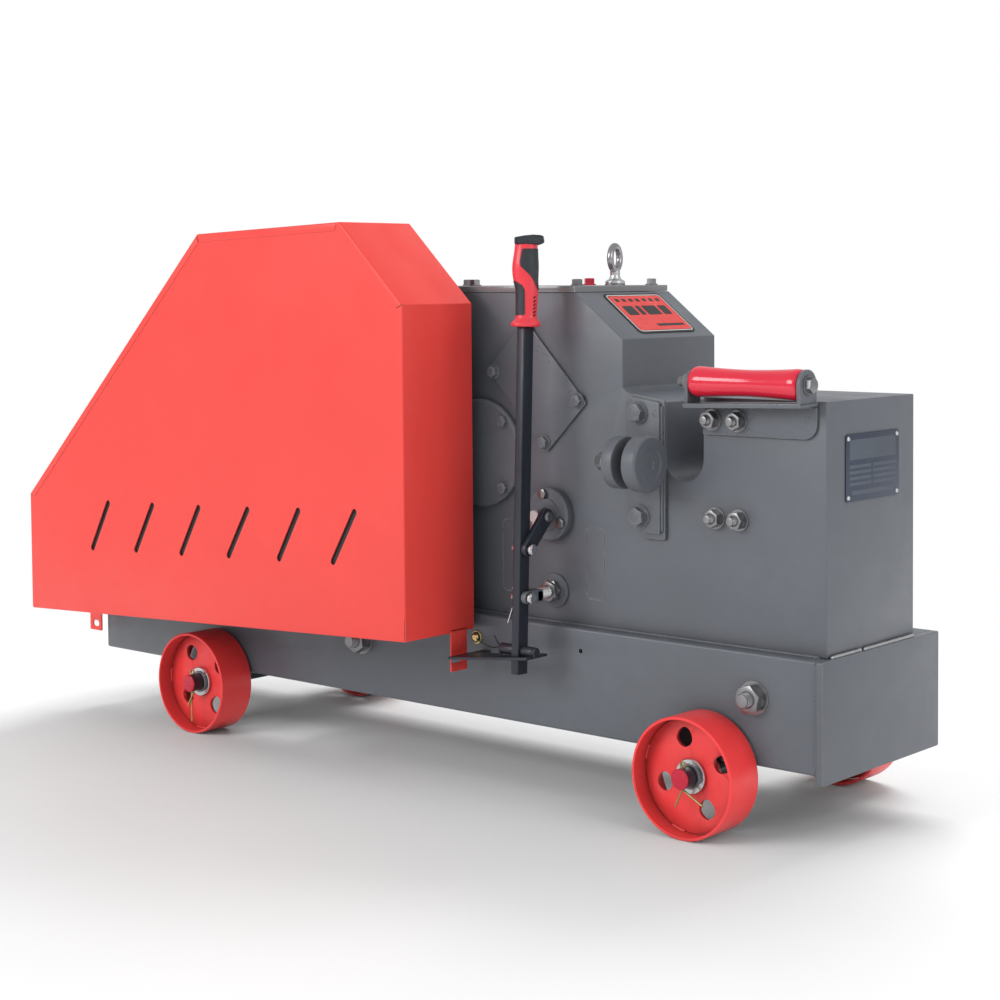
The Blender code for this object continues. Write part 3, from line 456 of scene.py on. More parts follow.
# ---------------------------------------------------------------- materials
class Graph:
    """A Principled material with short names for the nodes these finishes are made of."""

    def __init__(self, name, metallic=0.0):
        self.mat = bpy.data.materials.new(name)
        self.mat.use_nodes = True
        self.tree = self.mat.node_tree
        self.bsdf = self.tree.nodes["Principled BSDF"]
        self.bsdf.inputs["Metallic"].default_value = metallic
        self.co = self.node("ShaderNodeTexCoord").outputs["Object"]

    def node(self, kind, **settings):
        made = self.tree.nodes.new(kind)
        for key, value in settings.items():
            setattr(made, key, value)
        return made

    def put(self, value, socket):
        if isinstance(value, bpy.types.NodeSocket):
            self.tree.links.new(value, socket)
        elif isinstance(value, (tuple, list)) and len(value) == 3 and socket.type == "RGBA":
            socket.default_value = (*value, 1.0)
        else:
            socket.default_value = value

    def stretch(self, x, y, z, turn=(0, 0, 0)):
        m = self.node("ShaderNodeMapping")
        self.put(self.co, m.inputs["Vector"])
        m.inputs["Scale"].default_value = (x, y, z)
        m.inputs["Rotation"].default_value = turn
        return m.outputs["Vector"]

    def noise(self, scale, detail=4.0, rough=0.55, vector=None, distort=0.0):
        n = self.node("ShaderNodeTexNoise")
        self.put(vector or self.co, n.inputs["Vector"])
        n.inputs["Scale"].default_value = scale
        n.inputs["Detail"].default_value = detail
        n.inputs["Roughness"].default_value = rough
        n.inputs["Distortion"].default_value = distort
        return n.outputs["Fac"]

    def cells(self, scale, vector=None, feature="F1"):
        n = self.node("ShaderNodeTexVoronoi", feature=feature)
        self.put(vector or self.co, n.inputs["Vector"])
        n.inputs["Scale"].default_value = scale
        return n.outputs["Distance"]

    def spread(self, value, lo, hi, to_lo=0.0, to_hi=1.0, smooth=False):
        n = self.node("ShaderNodeMapRange", clamp=True)
        if smooth:
            n.interpolation_type = "SMOOTHSTEP"
        self.put(value, n.inputs["Value"])
        for key, v in (("From Min", lo), ("From Max", hi), ("To Min", to_lo), ("To Max", to_hi)):
            n.inputs[key].default_value = v
        return n.outputs["Result"]

    def math(self, op, a, b=None, clamp=False):
        n = self.node("ShaderNodeMath", operation=op, use_clamp=clamp)
        self.put(a, n.inputs[0])
        if b is not None:
            self.put(b, n.inputs[1])
        return n.outputs[0]

    def mix(self, fac, a, b, kind="MIX"):
        n = self.node("ShaderNodeMix", data_type="RGBA", blend_type=kind)
        self.put(fac, n.inputs["Factor"])
        self.put(a, n.inputs[6])
        self.put(b, n.inputs[7])
        return n.outputs[2]

    def bump(self, height, strength, distance, normal=None):
        n = self.node("ShaderNodeBump")
        self.put(height, n.inputs["Height"])
        n.inputs["Strength"].default_value = strength
        n.inputs["Distance"].default_value = distance
        if normal is not None:
            self.put(normal, n.inputs["Normal"])
        return n.outputs["Normal"]

    def edges(self, radius, lo=0.03, hi=0.30):
        """1 along convex and concave edges, 0 on open surface."""
        b = self.node("ShaderNodeBevel", samples=4)
        b.inputs["Radius"].default_value = radius
        g = self.node("ShaderNodeNewGeometry")
        d = self.node("ShaderNodeVectorMath", operation="DOT_PRODUCT")
        self.put(b.outputs["Normal"], d.inputs[0])
        self.put(g.outputs["Normal"], d.inputs[1])
        return self.spread(self.math("SUBTRACT", 1.0, d.outputs["Value"]), lo, hi)

    def corners(self, distance, lo=0.35, hi=0.95):
        """1 deep in crevices, 0 in the open."""
        a = self.node("ShaderNodeAmbientOcclusion", samples=4)
        a.inputs["Distance"].default_value = distance
        return self.spread(a.outputs["AO"], lo, hi, 1.0, 0.0)

    def done(self, colour, rough, normal=None, coat=0.0, coat_rough=0.1):
        self.put(colour, self.bsdf.inputs["Base Color"])
        self.put(rough, self.bsdf.inputs["Roughness"])
        if normal is not None:
            self.put(normal, self.bsdf.inputs["Normal"])
        self.bsdf.inputs["Coat Weight"].default_value = coat
        self.bsdf.inputs["Coat Roughness"].default_value = coat_rough
        return self.mat


def tone(rgb, k):
    return tuple(min(1.0, c * k) for c in rgb)


def enamel(name, rgb, rough=0.4, vary=0.10, worn_and_highlight_rgb=(0.42, 0.43, 0.45), edge_wear_and_highlight=0.5, peel=0.25, wave=0.25, crevice_shade=0.35, specks=0.0,
           pits=0.0, crevice_shade_rgb=(0.05, 0.045, 0.04), scratch=0.25, coat=0.0, quiet=None):
    """Sprayed paint on steel: cloudy tone, orange peel, faint scratches, lighter edges that are part wear and part
    painted highlight, painted shade darkening the crevices.
    """
    g = Graph(name)
    cloud = g.noise(5.5, 3, 0.5)
    mottle = g.noise(55, 6, 0.6)
    colour = g.mix(g.spread(cloud, 0.3, 0.7), tone(rgb, 1 - vary), tone(rgb, 1 + vary))
    colour = g.mix(g.spread(mottle, 0.35, 0.65, 0.0, 0.5), colour, tone(rgb, 1 - vary * 0.8))
    streaks = g.noise(9, 8, 0.62, g.stretch(1.0, 1.0, 34.0, (0.0, 0.35, 0.0)))
    lines = g.spread(streaks, 0.64, 0.70, 0.0, scratch)
    colour = g.mix(g.math("MULTIPLY", lines, 0.35), colour, tone(rgb, 1.45))
    # painted shade: darkens the paint in crevices by an ambient-occlusion mask, broken up by noise
    if crevice_shade:
        crevice_shade_mask = g.math("MULTIPLY", g.corners(0.022), g.spread(g.noise(38, 5), 0.25, 0.7, 0.35, 1.0))
        colour = g.mix(g.math("MULTIPLY", crevice_shade_mask, crevice_shade), colour, crevice_shade_rgb)
    if specks:
        dots = g.spread(g.cells(150), 0.035, 0.055, 1.0, 0.0)
        patch = g.spread(g.noise(11, 2), 0.60, 0.68)
        colour = g.mix(g.math("MULTIPLY", g.math("MULTIPLY", dots, patch), specks), colour, (0.85, 0.82, 0.80))
    rim = None
    # part wear, part painted highlight: lightens the paint along convex and concave edges (rim is the bevel mask),
    # broken up by noise
    if edge_wear_and_highlight:
        rim = g.math("MULTIPLY", g.edges(0.0013), g.spread(g.noise(70, 5, 0.6), 0.36, 0.60, 0.25, 1.0))
        colour = g.mix(g.math("MULTIPLY", rim, edge_wear_and_highlight), colour, worn_and_highlight_rgb)
    shine = g.spread(g.noise(24, 5, 0.6), 0.3, 0.7, rough - 0.07, rough + 0.08)
    shine = g.math("ADD", shine, g.math("MULTIPLY", lines, 0.12))
    normal = g.bump(g.noise(13, 2, 0.5), wave, 0.0022)
    normal = g.bump(g.noise(620, 2, 0.5), peel, 0.00025, normal)
    if pits:
        spatter = g.spread(g.cells(210), 0.10, 0.30, 1.0, 0.0, smooth=True)
        normal = g.bump(g.math("MULTIPLY", spatter, g.spread(g.noise(45, 3), 0.45, 0.6)), pits, 0.0009, normal)
    if quiet:  # how strongly the paint colours the light it throws on what is around it
        colour = g.mix(g.node("ShaderNodeLightPath").outputs["Is Diffuse Ray"], colour, quiet)
    return g.done(colour, shine, normal, coat)


def machined(name, rgb, rough=0.3, lines=(1, 1, 1), marks=0.25, rust=0.12, deep=0.35, metallic=1.0, stain=(0.20, 0.12, 0.07)):
    """Turned or ground steel: fine tool marks, uneven sheen, a little tarnish."""
    g = Graph(name, metallic)
    cloud = g.noise(17, 5, 0.6)
    colour = g.mix(g.spread(cloud, 0.3, 0.7), tone(rgb, 0.86), tone(rgb, 1.1))
    tool = g.noise(160, 4, 0.6, g.stretch(*lines))
    colour = g.mix(g.spread(tool, 0.35, 0.65, 0.0, 0.3), colour, tone(rgb, 0.78))
    spots = g.spread(g.noise(75, 7, 0.68), 0.60, 0.74, 0.0, rust)
    colour = g.mix(spots, colour, stain)
    shine = g.math("ADD", g.spread(cloud, 0.3, 0.7, rough - 0.06, rough + 0.10), g.math("MULTIPLY", spots, 0.9))
    normal = g.bump(tool, marks, 0.0003)
    normal = g.bump(g.noise(30, 3), deep * 0.3, 0.0008, normal)
    return g.done(colour, shine, normal)


def moulded(name, rgb, rough=0.5, grain=0.3, scale=900, vary=0.08, sheen=0.0, bloom=0.1):
    """Moulded rubber or plastic with a fine grain and a dusty bloom."""
    g = Graph(name)
    cloud = g.noise(26, 4, 0.6)
    colour = g.mix(g.spread(cloud, 0.3, 0.7), tone(rgb, 1 - vary), tone(rgb, 1 + vary))
    dusty = g.spread(g.noise(60, 5), 0.52, 0.75, 0.0, bloom)
    colour = g.mix(dusty, colour, tuple(0.6 * c + 0.12 for c in rgb))
    skin = g.cells(scale)
    normal = g.bump(skin, grain, 0.0003)
    shine = g.spread(g.noise(40, 5), 0.3, 0.7, rough - 0.06, rough + 0.10)
    return g.done(colour, shine, normal)


GREY_RGB = (0.120, 0.130, 0.150)
GREY = enamel("grey_enamel", GREY_RGB, 0.38, 0.09, edge_wear_and_highlight=0.75, worn_and_highlight_rgb=(0.55, 0.56, 0.58), peel=0.28, crevice_shade=0.45, specks=0.12)
GREY_PLATE = enamel("grey_plate_enamel", tone(GREY_RGB, 1.02), 0.42, 0.12, edge_wear_and_highlight=0.8, worn_and_highlight_rgb=(0.55, 0.56, 0.58), peel=0.35, crevice_shade=0.5, specks=0.2, pits=0.6)
RED = enamel("red_powder_coat", (0.86, 0.058, 0.046), 0.42, 0.035, edge_wear_and_highlight=0.55, worn_and_highlight_rgb=(0.95, 0.30, 0.27), peel=0.22, wave=0.3, crevice_shade=0.22,
             specks=0.55, crevice_shade_rgb=(0.22, 0.012, 0.012), scratch=0.12, quiet=(0.24, 0.18, 0.18))
RED_WHEEL = enamel("red_wheel_enamel", (0.97, 0.048, 0.050), 0.36, 0.07, edge_wear_and_highlight=0.6, worn_and_highlight_rgb=(0.92, 0.24, 0.26), peel=0.32, wave=0.35, crevice_shade=0.5,
                   specks=0.8, crevice_shade_rgb=(0.14, 0.02, 0.01), pits=0.25, quiet=(0.26, 0.17, 0.17))
CRIMSON = enamel("crimson_dip", (0.55, 0.006, 0.035), 0.22, 0.08, edge_wear_and_highlight=0.35, worn_and_highlight_rgb=(0.85, 0.25, 0.3), peel=0.15, crevice_shade=0.1)
ROLLER_RED = enamel("red_gloss", (0.76, 0.008, 0.040), 0.16, 0.05, edge_wear_and_highlight=0.35, worn_and_highlight_rgb=(0.9, 0.3, 0.32), peel=0.12, wave=0.10, crevice_shade=0.2, coat=0.5)
BLACK = enamel("blued_steel", (0.018, 0.022, 0.034), 0.33, 0.2, edge_wear_and_highlight=0.8, worn_and_highlight_rgb=(0.17, 0.19, 0.23), peel=0.2, wave=0.2, crevice_shade=0.3,
               crevice_shade_rgb=(0.03, 0.022, 0.015))
MOTOR_PAINT = enamel("motor_paint", (0.060, 0.105, 0.135), 0.45, 0.12, edge_wear_and_highlight=0.5, worn_and_highlight_rgb=(0.35, 0.40, 0.42), peel=0.4, wave=0.4, crevice_shade=0.5, pits=0.2)
STEEL = machined("bright_steel", (0.60, 0.60, 0.61), 0.26, (1, 1, 1), 0.2, 0.15)
GROUND = machined("ground_steel", (0.50, 0.50, 0.51), 0.30, (6, 1, 1), 0.35, 0.25)
TOOL = machined("tool_steel", (0.27, 0.27, 0.28), 0.32, (1, 8, 1), 0.35, 0.35)
ZINC = machined("zinc_plate", (0.66, 0.67, 0.69), 0.24, (1, 1, 1), 0.12, 0.22, stain=(0.34, 0.30, 0.22))
IRON = machined("cast_iron", (0.17, 0.172, 0.178), 0.50, (1, 1, 1), 0.5, 0.4, deep=1.0, metallic=0.8)
EYE_STEEL = machined("forged_eye", (0.42, 0.42, 0.44), 0.30, (1, 1, 1), 0.15, 0.15)
NUT = machined("oxidised_nut", (0.27, 0.27, 0.28), 0.34, (1, 1, 1), 0.25, 0.35, deep=0.6, metallic=0.9, stain=(0.13, 0.08, 0.05))
# the near-white edge colour at 0.95 is part wear and part painted highlight for the bright band along the lid's edges
LID_GREY = enamel("lid_enamel", (0.20, 0.205, 0.215), 0.22, 0.08, edge_wear_and_highlight=0.95, worn_and_highlight_rgb=(0.80, 0.78, 0.77), peel=0.22, crevice_shade=0.2, specks=0.1, coat=0.5)
BRONZE = machined("bronze", (0.66, 0.42, 0.16), 0.30, (1, 5, 1), 0.3, 0.2, stain=(0.16, 0.09, 0.03))
BRASS = machined("brass", (0.78, 0.60, 0.26), 0.22, (1, 1, 1), 0.15, 0.1)
WELD = machined("weld_bead", (0.50, 0.50, 0.51), 0.34, (1, 1, 1), 0.5, 0.3, deep=0.9, metallic=0.7)
OLIVE = machined("passivated_wire", (0.42, 0.35, 0.15), 0.35, (1, 1, 1), 0.3, 0.3)
RUBBER = moulded("belt_rubber", (0.016, 0.016, 0.017), 0.7, 0.4, 700)
SOFT_BLACK = moulded("grip_rubber", (0.020, 0.025, 0.032), 0.48, 0.35, 1500, bloom=0.15)
PLASTIC = moulded("grip_plastic", (0.82, 0.045, 0.065), 0.27, 0.06, 1400, 0.04, bloom=0.05)
DARK_PLASTIC = moulded("black_plastic", (0.016, 0.017, 0.019), 0.4, 0.2, 1200)
LABEL_RED = moulded("label_red", (0.70, 0.035, 0.030), 0.30, 0.04, 500, 0.05)
LABEL_BLACK = moulded("label_black", (0.010, 0.010, 0.012), 0.32, 0.04, 500, 0.1)
LABEL_WHITE = moulded("label_white", (0.80, 0.80, 0.79), 0.35, 0.04, 500, 0.03)
PLATE = machined("rating_plate", (0.070, 0.085, 0.120), 0.36, (1, 1, 9), 0.25, 0.1, metallic=0.7)
PLATE_LIGHT = machined("rating_plate_light", (0.125, 0.145, 0.180), 0.34, (1, 1, 9), 0.25, 0.1, metallic=0.8)

# ---------------------------------------------------------------- chassis
rail = [
    (-128.3, 84.7, 4.0), (-78.3, 84.7, 1.6), (-78.3, 92.7, 2.4), (-121.3, 92.7, 5.0), (-121.3, 206.3, 5.0),
    (-78.3, 206.3, 2.4), (-78.3, 214.3, 1.6), (-128.3, 214.3, 3.2),
]
piece("chassis_rail_near", prism(filleted(rail, 2), -699.9, 578.3, "X"), GREY, like="chassis_frame",
      bevel=0.7, angle=60, cuts=[rod((239.3, 187.0), -135, -115, 3.4, n=28), rod((-143.4, 158.8), -135, -115, 7, n=28)])
piece("chassis_rail_far", prism(filleted([(-p[0], *p[1:]) for p in rail], 2), -699.9, 578.3, "X"), GREY,
      bevel=0.7, angle=60)
for k, (x0, x1) in enumerate(((-699.6, -692.0), (-300.0, -292.0), (150.0, 158.0), (570.4, 578.2))):
    piece(f"chassis_cross_plate_{k}", prism(rounded(-120.9, 93.2, 120.9, 205.9, 6), x0, x1, "X",
          holes=[circle(0, 150, 34, 40)] if k in (1, 2) else ()), GREY, bevel=0.8)
piece("motor_deck_plate", prism([(-646, -120.8), (-410, -120.8), (-410, 120.8), (-646, 120.8)], 206.9, 213.9, "Z",
      holes=[obround(MOTOR[0] + s * 78 - 14, y, MOTOR[0] + s * 78 + 14, y, 5.5, 10) for s in (-1, 1) for y in (-62, 80)]),
      GREY, bevel=0.8)
piece("end_plate_fine", prism(filleted([(-128.3, 74.5), (128.3, 74.5), (128.3, 214.2), (-128.3, 214.2)], 3.0), 578.6, 588.6, "X"), GREY,
      like="end_plate", bevel=0.9)

seams = bmesh.new()
bead([(-262, BODY_Y0 - 1.2, 215.0), (573, BODY_Y0 - 1.2, 215.0)], 2.4, seams, 1)
bead([(573, BODY_Y1 + 1.2, 215.0), (-262, BODY_Y1 + 1.2, 215.0)], 2.4, seams, 2)
bead([(-263.2, BODY_Y0, 215.0), (-263.2, BODY_Y1, 215.0)], 2.4, seams, 3)
for side in (-1, 1):
    bead([(578.0, side * 127.2, 92), (578.0, side * 127.2, 208)], 1.8, seams, 4 + side)
    for x in (-1, 1):
        for y0, y1 in ((83, 104), (108, 126)):
            for dx in (-12.2, 12.2):
                bead([(x * AXLE_X + dx, side * y0, 83.6), (x * AXLE_X + dx, side * y1, 83.6)], 2.6, seams, 9 + dx)
piece("frame_weld_beads", seams, GREY_PLATE)
end_seam = bmesh.new()
bead([(584.2, BODY_Y0 + 4, 215.4), (584.2, -40, 215.6)], 2.1, end_seam, 11, 7)
bead([(584.2, -36, 215.2), (584.2, BODY_Y1 - 3, 215.6)], 2.3, end_seam, 12, 6)
piece("end_plate_weld_bead", end_seam, WELD)

# ---------------------------------------------------------------- gearbox body
throat, throat_r = (THROAT_X0 + THROAT_X1) / 2, (THROAT_X1 - THROAT_X0) / 2
outline = (
    [(BODY_X0, BODY_Z0), (BODY_X1, BODY_Z0), (BODY_X1, JAW_Z), (THROAT_X1, JAW_Z)]
    + arc(throat, THROAT_Z, throat_r, 0, -180, 40)
    + [(THROAT_X0, LEDGE_Z)] + filleted([(THROAT_X0, LEDGE_Z, 0), (NOSE_X + 8, LEDGE_Z + 9.5, 14), (NOSE_X, LEDGE_Z + 14, 4), (NOSE_X, NOSE_Z, 0)], 8, 6, closed=False)[1:]
    + [(CHAMFER_X, WALL_TOP), (BODY_X0, WALL_TOP)]
)
inner = [
    (BODY_X0 + 16, 232), (NOSE_X - 16, 232), (NOSE_X - 16, NOSE_Z - 8), (CHAMFER_X - 2, WALL_TOP - 22),
    (CHAMFER_X - 16, WALL_TOP - 22), (CHAMFER_X - 16, WALL_TOP + 5), (BODY_X0 + 16, WALL_TOP + 5),
]
WINDOW = [(237.2, 489.3), (173.0, 426.0), (74.8, 527.0), (139.1, 590.2)]
mid = (sum(p[0] for p in WINDOW) / 4, sum(p[1] for p in WINDOW) / 4)
panels = [rounded(232.9, 248.1, 262.3, 336.7, 7.0, 6), rounded(95.8, 246.0, 125.2, 337.7, 7.0, 6)]
piece(
    "gearbox_housing_fine", prism(outline, BODY_Y0, BODY_Y1), GREY, like="gearbox_housing", bevel=1.3, segments=3, angle=25,
    cuts=[
        prism(inner, BODY_Y0 + 18, BODY_Y1 - 18),
        box(NOSE_X - 25, 438.6, -10.6, 30.6, 382.4, 457.6),
        rod(CRANK, BODY_Y0 - 5, BODY_Y1 + 5, 36.4, n=64),
        rod(INPUT, BODY_Y0 - 5, BODY_Y1 + 5, 30.4, n=64),
        rod(INTER, BODY_Y0 - 5, BODY_Y1 + 5, 15.4, n=48),
        rod(SHIFT_ROD, BODY_Y0 - 5, -60, 12.4, n=40),
        rod(PULL_ROD, BODY_Y0 - 5, -60, 12.4, n=40),
        prism([(mid[0] + 0.72 * (x - mid[0]), mid[1] + 0.72 * (z - mid[1])) for x, z in WINDOW], BODY_Y0 - 5, BODY_Y0 + 23),
        box(458, 562, BODY_Y0 + 18, BODY_Y1 - 18, BODY_Z0 - 5, JAW_Z - 16),
        # the joint lines round the two welded-in wall patches
        *[prism(p, BODY_Y0 - 2, BODY_Y0 + 0.9, holes=[filleted([(x0 + 0.8, z0 + 0.8), (x1 - 0.8, z0 + 0.8), (x1 - 0.8, z1 - 0.8), (x0 + 0.8, z1 - 0.8)], 6.2)])
          for p, (x0, z0, x1, z1) in zip(panels, ((232.9, 248.1, 262.3, 336.7), (95.8, 246.0, 125.2, 337.7)))],
    ],
)
piece("housing_top_cover_fine",
      box(BODY_X0, LID_X1, BODY_Y0, BODY_Y1, WALL_TOP + 0.3, BODY_TOP), LID_GREY, like="housing_top_cover", bevel=0.9)

fix = bmesh.new()
for x, y, spin in ((32, -88, 0.1), (204, -88, 0.5), (205.5, 60, 0.2), (-240, -88, 0.0), (-120, -88, 0.5), (-240, 62, 0.7), (-120, 62, 0.9)):
    fastener(fix, (x, y, BODY_TOP), (0, 0, 1), 11.5, 6.5, 8, spin=spin)
piece("top_cover_bolts", fix, NUT)
plug = bmesh.new()
fastener(plug, (101.4, 60, BODY_TOP), (0, 0, 1), 12, 7.5, 9, spin=0.4)
piece("oil_filler_plug", plug, CRIMSON)

cover = [(0, BODY_Y0 - 9.0), (40, BODY_Y0 - 9.0), (66, BODY_Y0 - 9.0), (69, BODY_Y0 - 6.5), (69, BODY_Y0 - 0.3), (0, BODY_Y0 - 0.3)]
piece("round_bearing_cover_fine", lathe(cover, CRANK, n=96, soft=1.2), GREY_PLATE, like="round_bearing_cover")
fix = bmesh.new()
for k in range(4):
    a = math.radians(45 + 90 * k)
    fastener(fix, (CRANK[0] + 60 * math.cos(a), BODY_Y0 - 9.0, CRANK[1] + 60 * math.sin(a)), (0, -1, 0), 13, 6.5, spin=0.4 * k)
piece("round_cover_bolts", fix, GREY_PLATE)
cap = [(0, BODY_Y1 + 0.3), (50, BODY_Y1 + 0.3), (50, BODY_Y1 + 7), (47, BODY_Y1 + 10), (24, BODY_Y1 + 10), (22, BODY_Y1 + 8.6), (0, BODY_Y1 + 8.6)]
piece("crank_end_cap_fine", lathe(cap, CRANK, n=96, soft=0.8), GREY, like="crank_end_cap")
fix = bmesh.new()
for k in range(6):
    a = math.radians(30 + 60 * k)
    fastener(fix, (CRANK[0] + 41 * math.cos(a), BODY_Y1 + 9.6, CRANK[1] + 41 * math.sin(a)), (0, 1, 0), 10, 4.5, spin=0.3 * k)
piece("end_cap_bolts", fix, NUT)
piece("inspection_plate_fine", prism(filleted(WINDOW, 3.0), BODY_Y0 - 4.3, BODY_Y0 - 0.3), GREY_PLATE, like="inspection_plate",
      bevel=0.8)
fix = bmesh.new()
for k, (x, z) in enumerate(WINDOW):
    dx, dz = mid[0] - x, mid[1] - z
    reach = 12.5 / math.hypot(dx, dz)
    fastener(fix, (x + dx * reach, BODY_Y0 - 4.3, z + dz * reach), (0, -1, 0), 13, 5.5, 9.5, spin=0.35 * k)
piece("inspection_plate_bolts", fix, GREY_PLATE)

flange = [(8.4, BODY_Y0 - 0.3), (33, BODY_Y0 - 0.3), (33, BODY_Y0 - 11), (31, BODY_Y0 - 13), (20, BODY_Y0 - 13),
          (20, BODY_Y0 - 16), (14, BODY_Y0 - 16), (8.4, BODY_Y0 - 16)]
piece("clutch_flange_fine", lathe(flange, SHIFT_ROD, n=80, closed=True, soft=0.7), GREY_PLATE, like="clutch_flange")
fix = bmesh.new()
for k, a in enumerate((100, -20, 220)):
    a = math.radians(a)
    fastener(fix, (SHIFT_ROD[0] + 26 * math.cos(a), BODY_Y0 - 12.9, SHIFT_ROD[1] + 26 * math.sin(a)), (0, -1, 0), 11.5, 5.5, spin=0.5 * k)
piece("clutch_flange_bolts", fix, NUT)
guide = [(7.4, BODY_Y0 + 14), (12, BODY_Y0 + 14), (12, BODY_Y0 - 0.3), (21, BODY_Y0 - 0.3), (21, BODY_Y0 - 3.2), (12.5, BODY_Y0 - 3.2),
         (12.5, BODY_Y0 - 4.4), (7.4, BODY_Y0 - 4.4)]
piece("pull_rod_guide_fine", lathe(guide, PULL_ROD, n=64, closed=True, soft=0.5), GREY_PLATE, like="pull_rod_guide")
fix = bmesh.new()
absorb(fix, hexagon_body(24, 6.6, 0, both=True, bore=7.4), facing((PULL_ROD[0], BODY_Y0 - 4.6, PULL_ROD[1]), (0, -1, 0), 0.2))
absorb(fix, hexagon_body(24, 6.0, 0, both=True, bore=7.4), facing((PULL_ROD[0], BODY_Y0 - 11.4, PULL_ROD[1]), (0, -1, 0), 0.7))
piece("pull_rod_guide_nuts", fix, NUT)

# nuts, screws and the small parts on the chassis side
fix = bmesh.new()
fastener(fix, (496.2, -128.3, 163), (0, -1, 0), 30, 12, 20, spring=True, stud=9, spin=0.3)
fastener(fix, (-143.4, -128.3, 158.8), (0, -1, 0), 30, 12, 20, spring=True, stud=9, spin=0.6)
fastener(fix, (496.2, 128.3, 163), (0, 1, 0), 27, 11, 17, spring=True, stud=9, spin=0.1)
fastener(fix, (-143.4, 128.3, 158.8), (0, 1, 0), 27, 11, 17, spring=True, stud=9, spin=0.9)
piece("chassis_stud_nuts", fix, NUT)
fix = bmesh.new()
screw = [(0, -128.2), (8.4, -128.2), (8.4, -129.8), (5.6, -129.8), (5.4, -131.6), (3.6, -133.2), (0, -133.6)]
lathe(screw, (67.3, 185.1), n=40, soft=0.4, bm=fix)
piece("tether_screw", fix, BRASS, cuts=[box(67.3 - 5, 67.3 + 5, -135, -131.7, 184.5, 185.7)])

# far side: cover over the gear shafts, outline round both bearings
fix = bmesh.new()
shaft_cover = prism(obround(*INTER, *INPUT, 34, 20, 44), BODY_Y1 + 0.3, BODY_Y1 + 8.3)
piece("gear_shaft_cover_fine", shaft_cover, GREY, like="gear_shaft_cover" if "gear_shaft_cover" in frame["nodes"] else None,
      bevel=1.2, segments=3)
ends = obround(*INTER, *INPUT, 26, 5, 36)
for k in range(len(ends)):
    if k % 3 == 1:
        fastener(fix, (ends[k][0], BODY_Y1 + 8.3, ends[k][1]), (0, 1, 0), 10, 4.5, 7.5, spin=0.4 * k)
piece("gear_shaft_cover_bolts", fix, NUT)
seal = [(18.4, BODY_Y0 + 2), (29, BODY_Y0 + 2), (29, BODY_Y0 - 0.2), (46, BODY_Y0 - 0.2), (46, BODY_Y0 - 6), (24, BODY_Y0 - 7.5), (18.4, BODY_Y0 - 7.5)]
piece("input_shaft_seal_cap", lathe(seal, INPUT, n=72, closed=True, soft=0.7), GREY)
piece("intermediate_shaft_cap", lathe([(0, BODY_Y0 - 0.3), (27, BODY_Y0 - 0.3), (27, BODY_Y0 - 5), (0, BODY_Y0 - 5)], INTER, n=64, soft=1.0),
      GREY)
fix = bmesh.new()
for k in range(4):
    a = math.radians(45 + 90 * k)
    fastener(fix, (INPUT[0] + 38 * math.cos(a), BODY_Y0 - 6.6, INPUT[1] + 38 * math.sin(a)), (0, -1, 0), 10, 4.5, spin=0.3 * k)
    fastener(fix, (INTER[0] + 20.5 * math.cos(a + 0.3), BODY_Y0 - 5, INTER[1] + 20.5 * math.sin(a + 0.3)), (0, -1, 0), 8, 3.5, spin=0.3 * k)
piece("shaft_cap_bolts", fix, NUT)

# ---------------------------------------------------------------- bar stop
plate = [(330.2, 338.0), (354.0, 338.0), (354.0, 494.0), (310.5, 500.0), (303.8, 494.0), (303.8, 357.5)]
backing = [(326.0, 330.4), (358.4, 330.4), (358.4, 497.0), (311.5, 503.0), (302.0, 495.0), (302.0, 355.0)]
piece("stop_plate_fine", prism(filleted(plate, 2.5), BODY_Y0 - 9.8, BODY_Y0 - 4.6), GREY_PLATE, like="stop_plate", bevel=0.9)
piece("stop_plate_backing", prism(filleted(backing, 3.0), BODY_Y0 - 5.0, BODY_Y0 - 0.3), GREY_PLATE, bevel=0.9)
boss = lathe([(10.9, 316.6), (31, 316.6), (31, 332.6), (10.9, 332.6)], STOP, "X", 80, closed=True, soft=1.4)
piece("stop_boss", boss, GREY_PLATE)
piece("stop_boss_web", prism([(318, STOP[1] - 20), (331, STOP[1] - 20), (331, STOP[1] + 20), (318, STOP[1] + 20)], STOP[0] + 22, BODY_Y0 - 9.6),
      GREY_PLATE, bevel=0.8)
seams = bmesh.new()
bead([(317.0, -120.6, 403), (317.0, -120.6, 446)], 3.0, seams, 21, 5)
bead([(332.4, -120.6, 403), (332.4, -120.6, 446)], 3.0, seams, 22, 5)
bead([(317.5, -121.5, 403.5), (332, -121.5, 403.5)], 2.6, seams, 23)
bead([(314, -121.0, 446.5), (335, -121.0, 447.5)], 3.4, seams, 24, 4)
bead([(354.6, BODY_Y0 - 5.6, 340), (355.0, BODY_Y0 - 5.6, 491)], 2.2, seams, 25)
bead([(303.0, BODY_Y0 - 5.4, 360), (303.0, BODY_Y0 - 5.4, 491)], 1.8, seams, 26)
piece("stop_weld_beads", seams, GREY_PLATE)
fix = bmesh.new()
fastener(fix, (322.5, BODY_Y0 - 9.8, 481.6), (0, -1, 0), 20, 9, 14.5, spin=0.25)
fastener(fix, (324.4, BODY_Y0 - 9.8, 357.2), (0, -1, 0), 20, 9, 14.5, spin=0.6)
piece("stop_plate_bolts", fix, GREY_PLATE)
screw_rings = [(0, 290.6), (8.8, 290.6)]
h, k = 291.8, 0
while h < 346:
    screw_rings.append((10.5 if k % 2 else 9.2, h))
    h += 1.25
    k += 1
screw_rings += [(9.4, 347.4), (0, 347.4)]
piece("stop_screw_fine", lathe(screw_rings, STOP, "X", 48), NUT, like="stop_screw", smooth=50)
disc_r = (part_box("stop_disc")[1].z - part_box("stop_disc")[0].z) / MM / 2
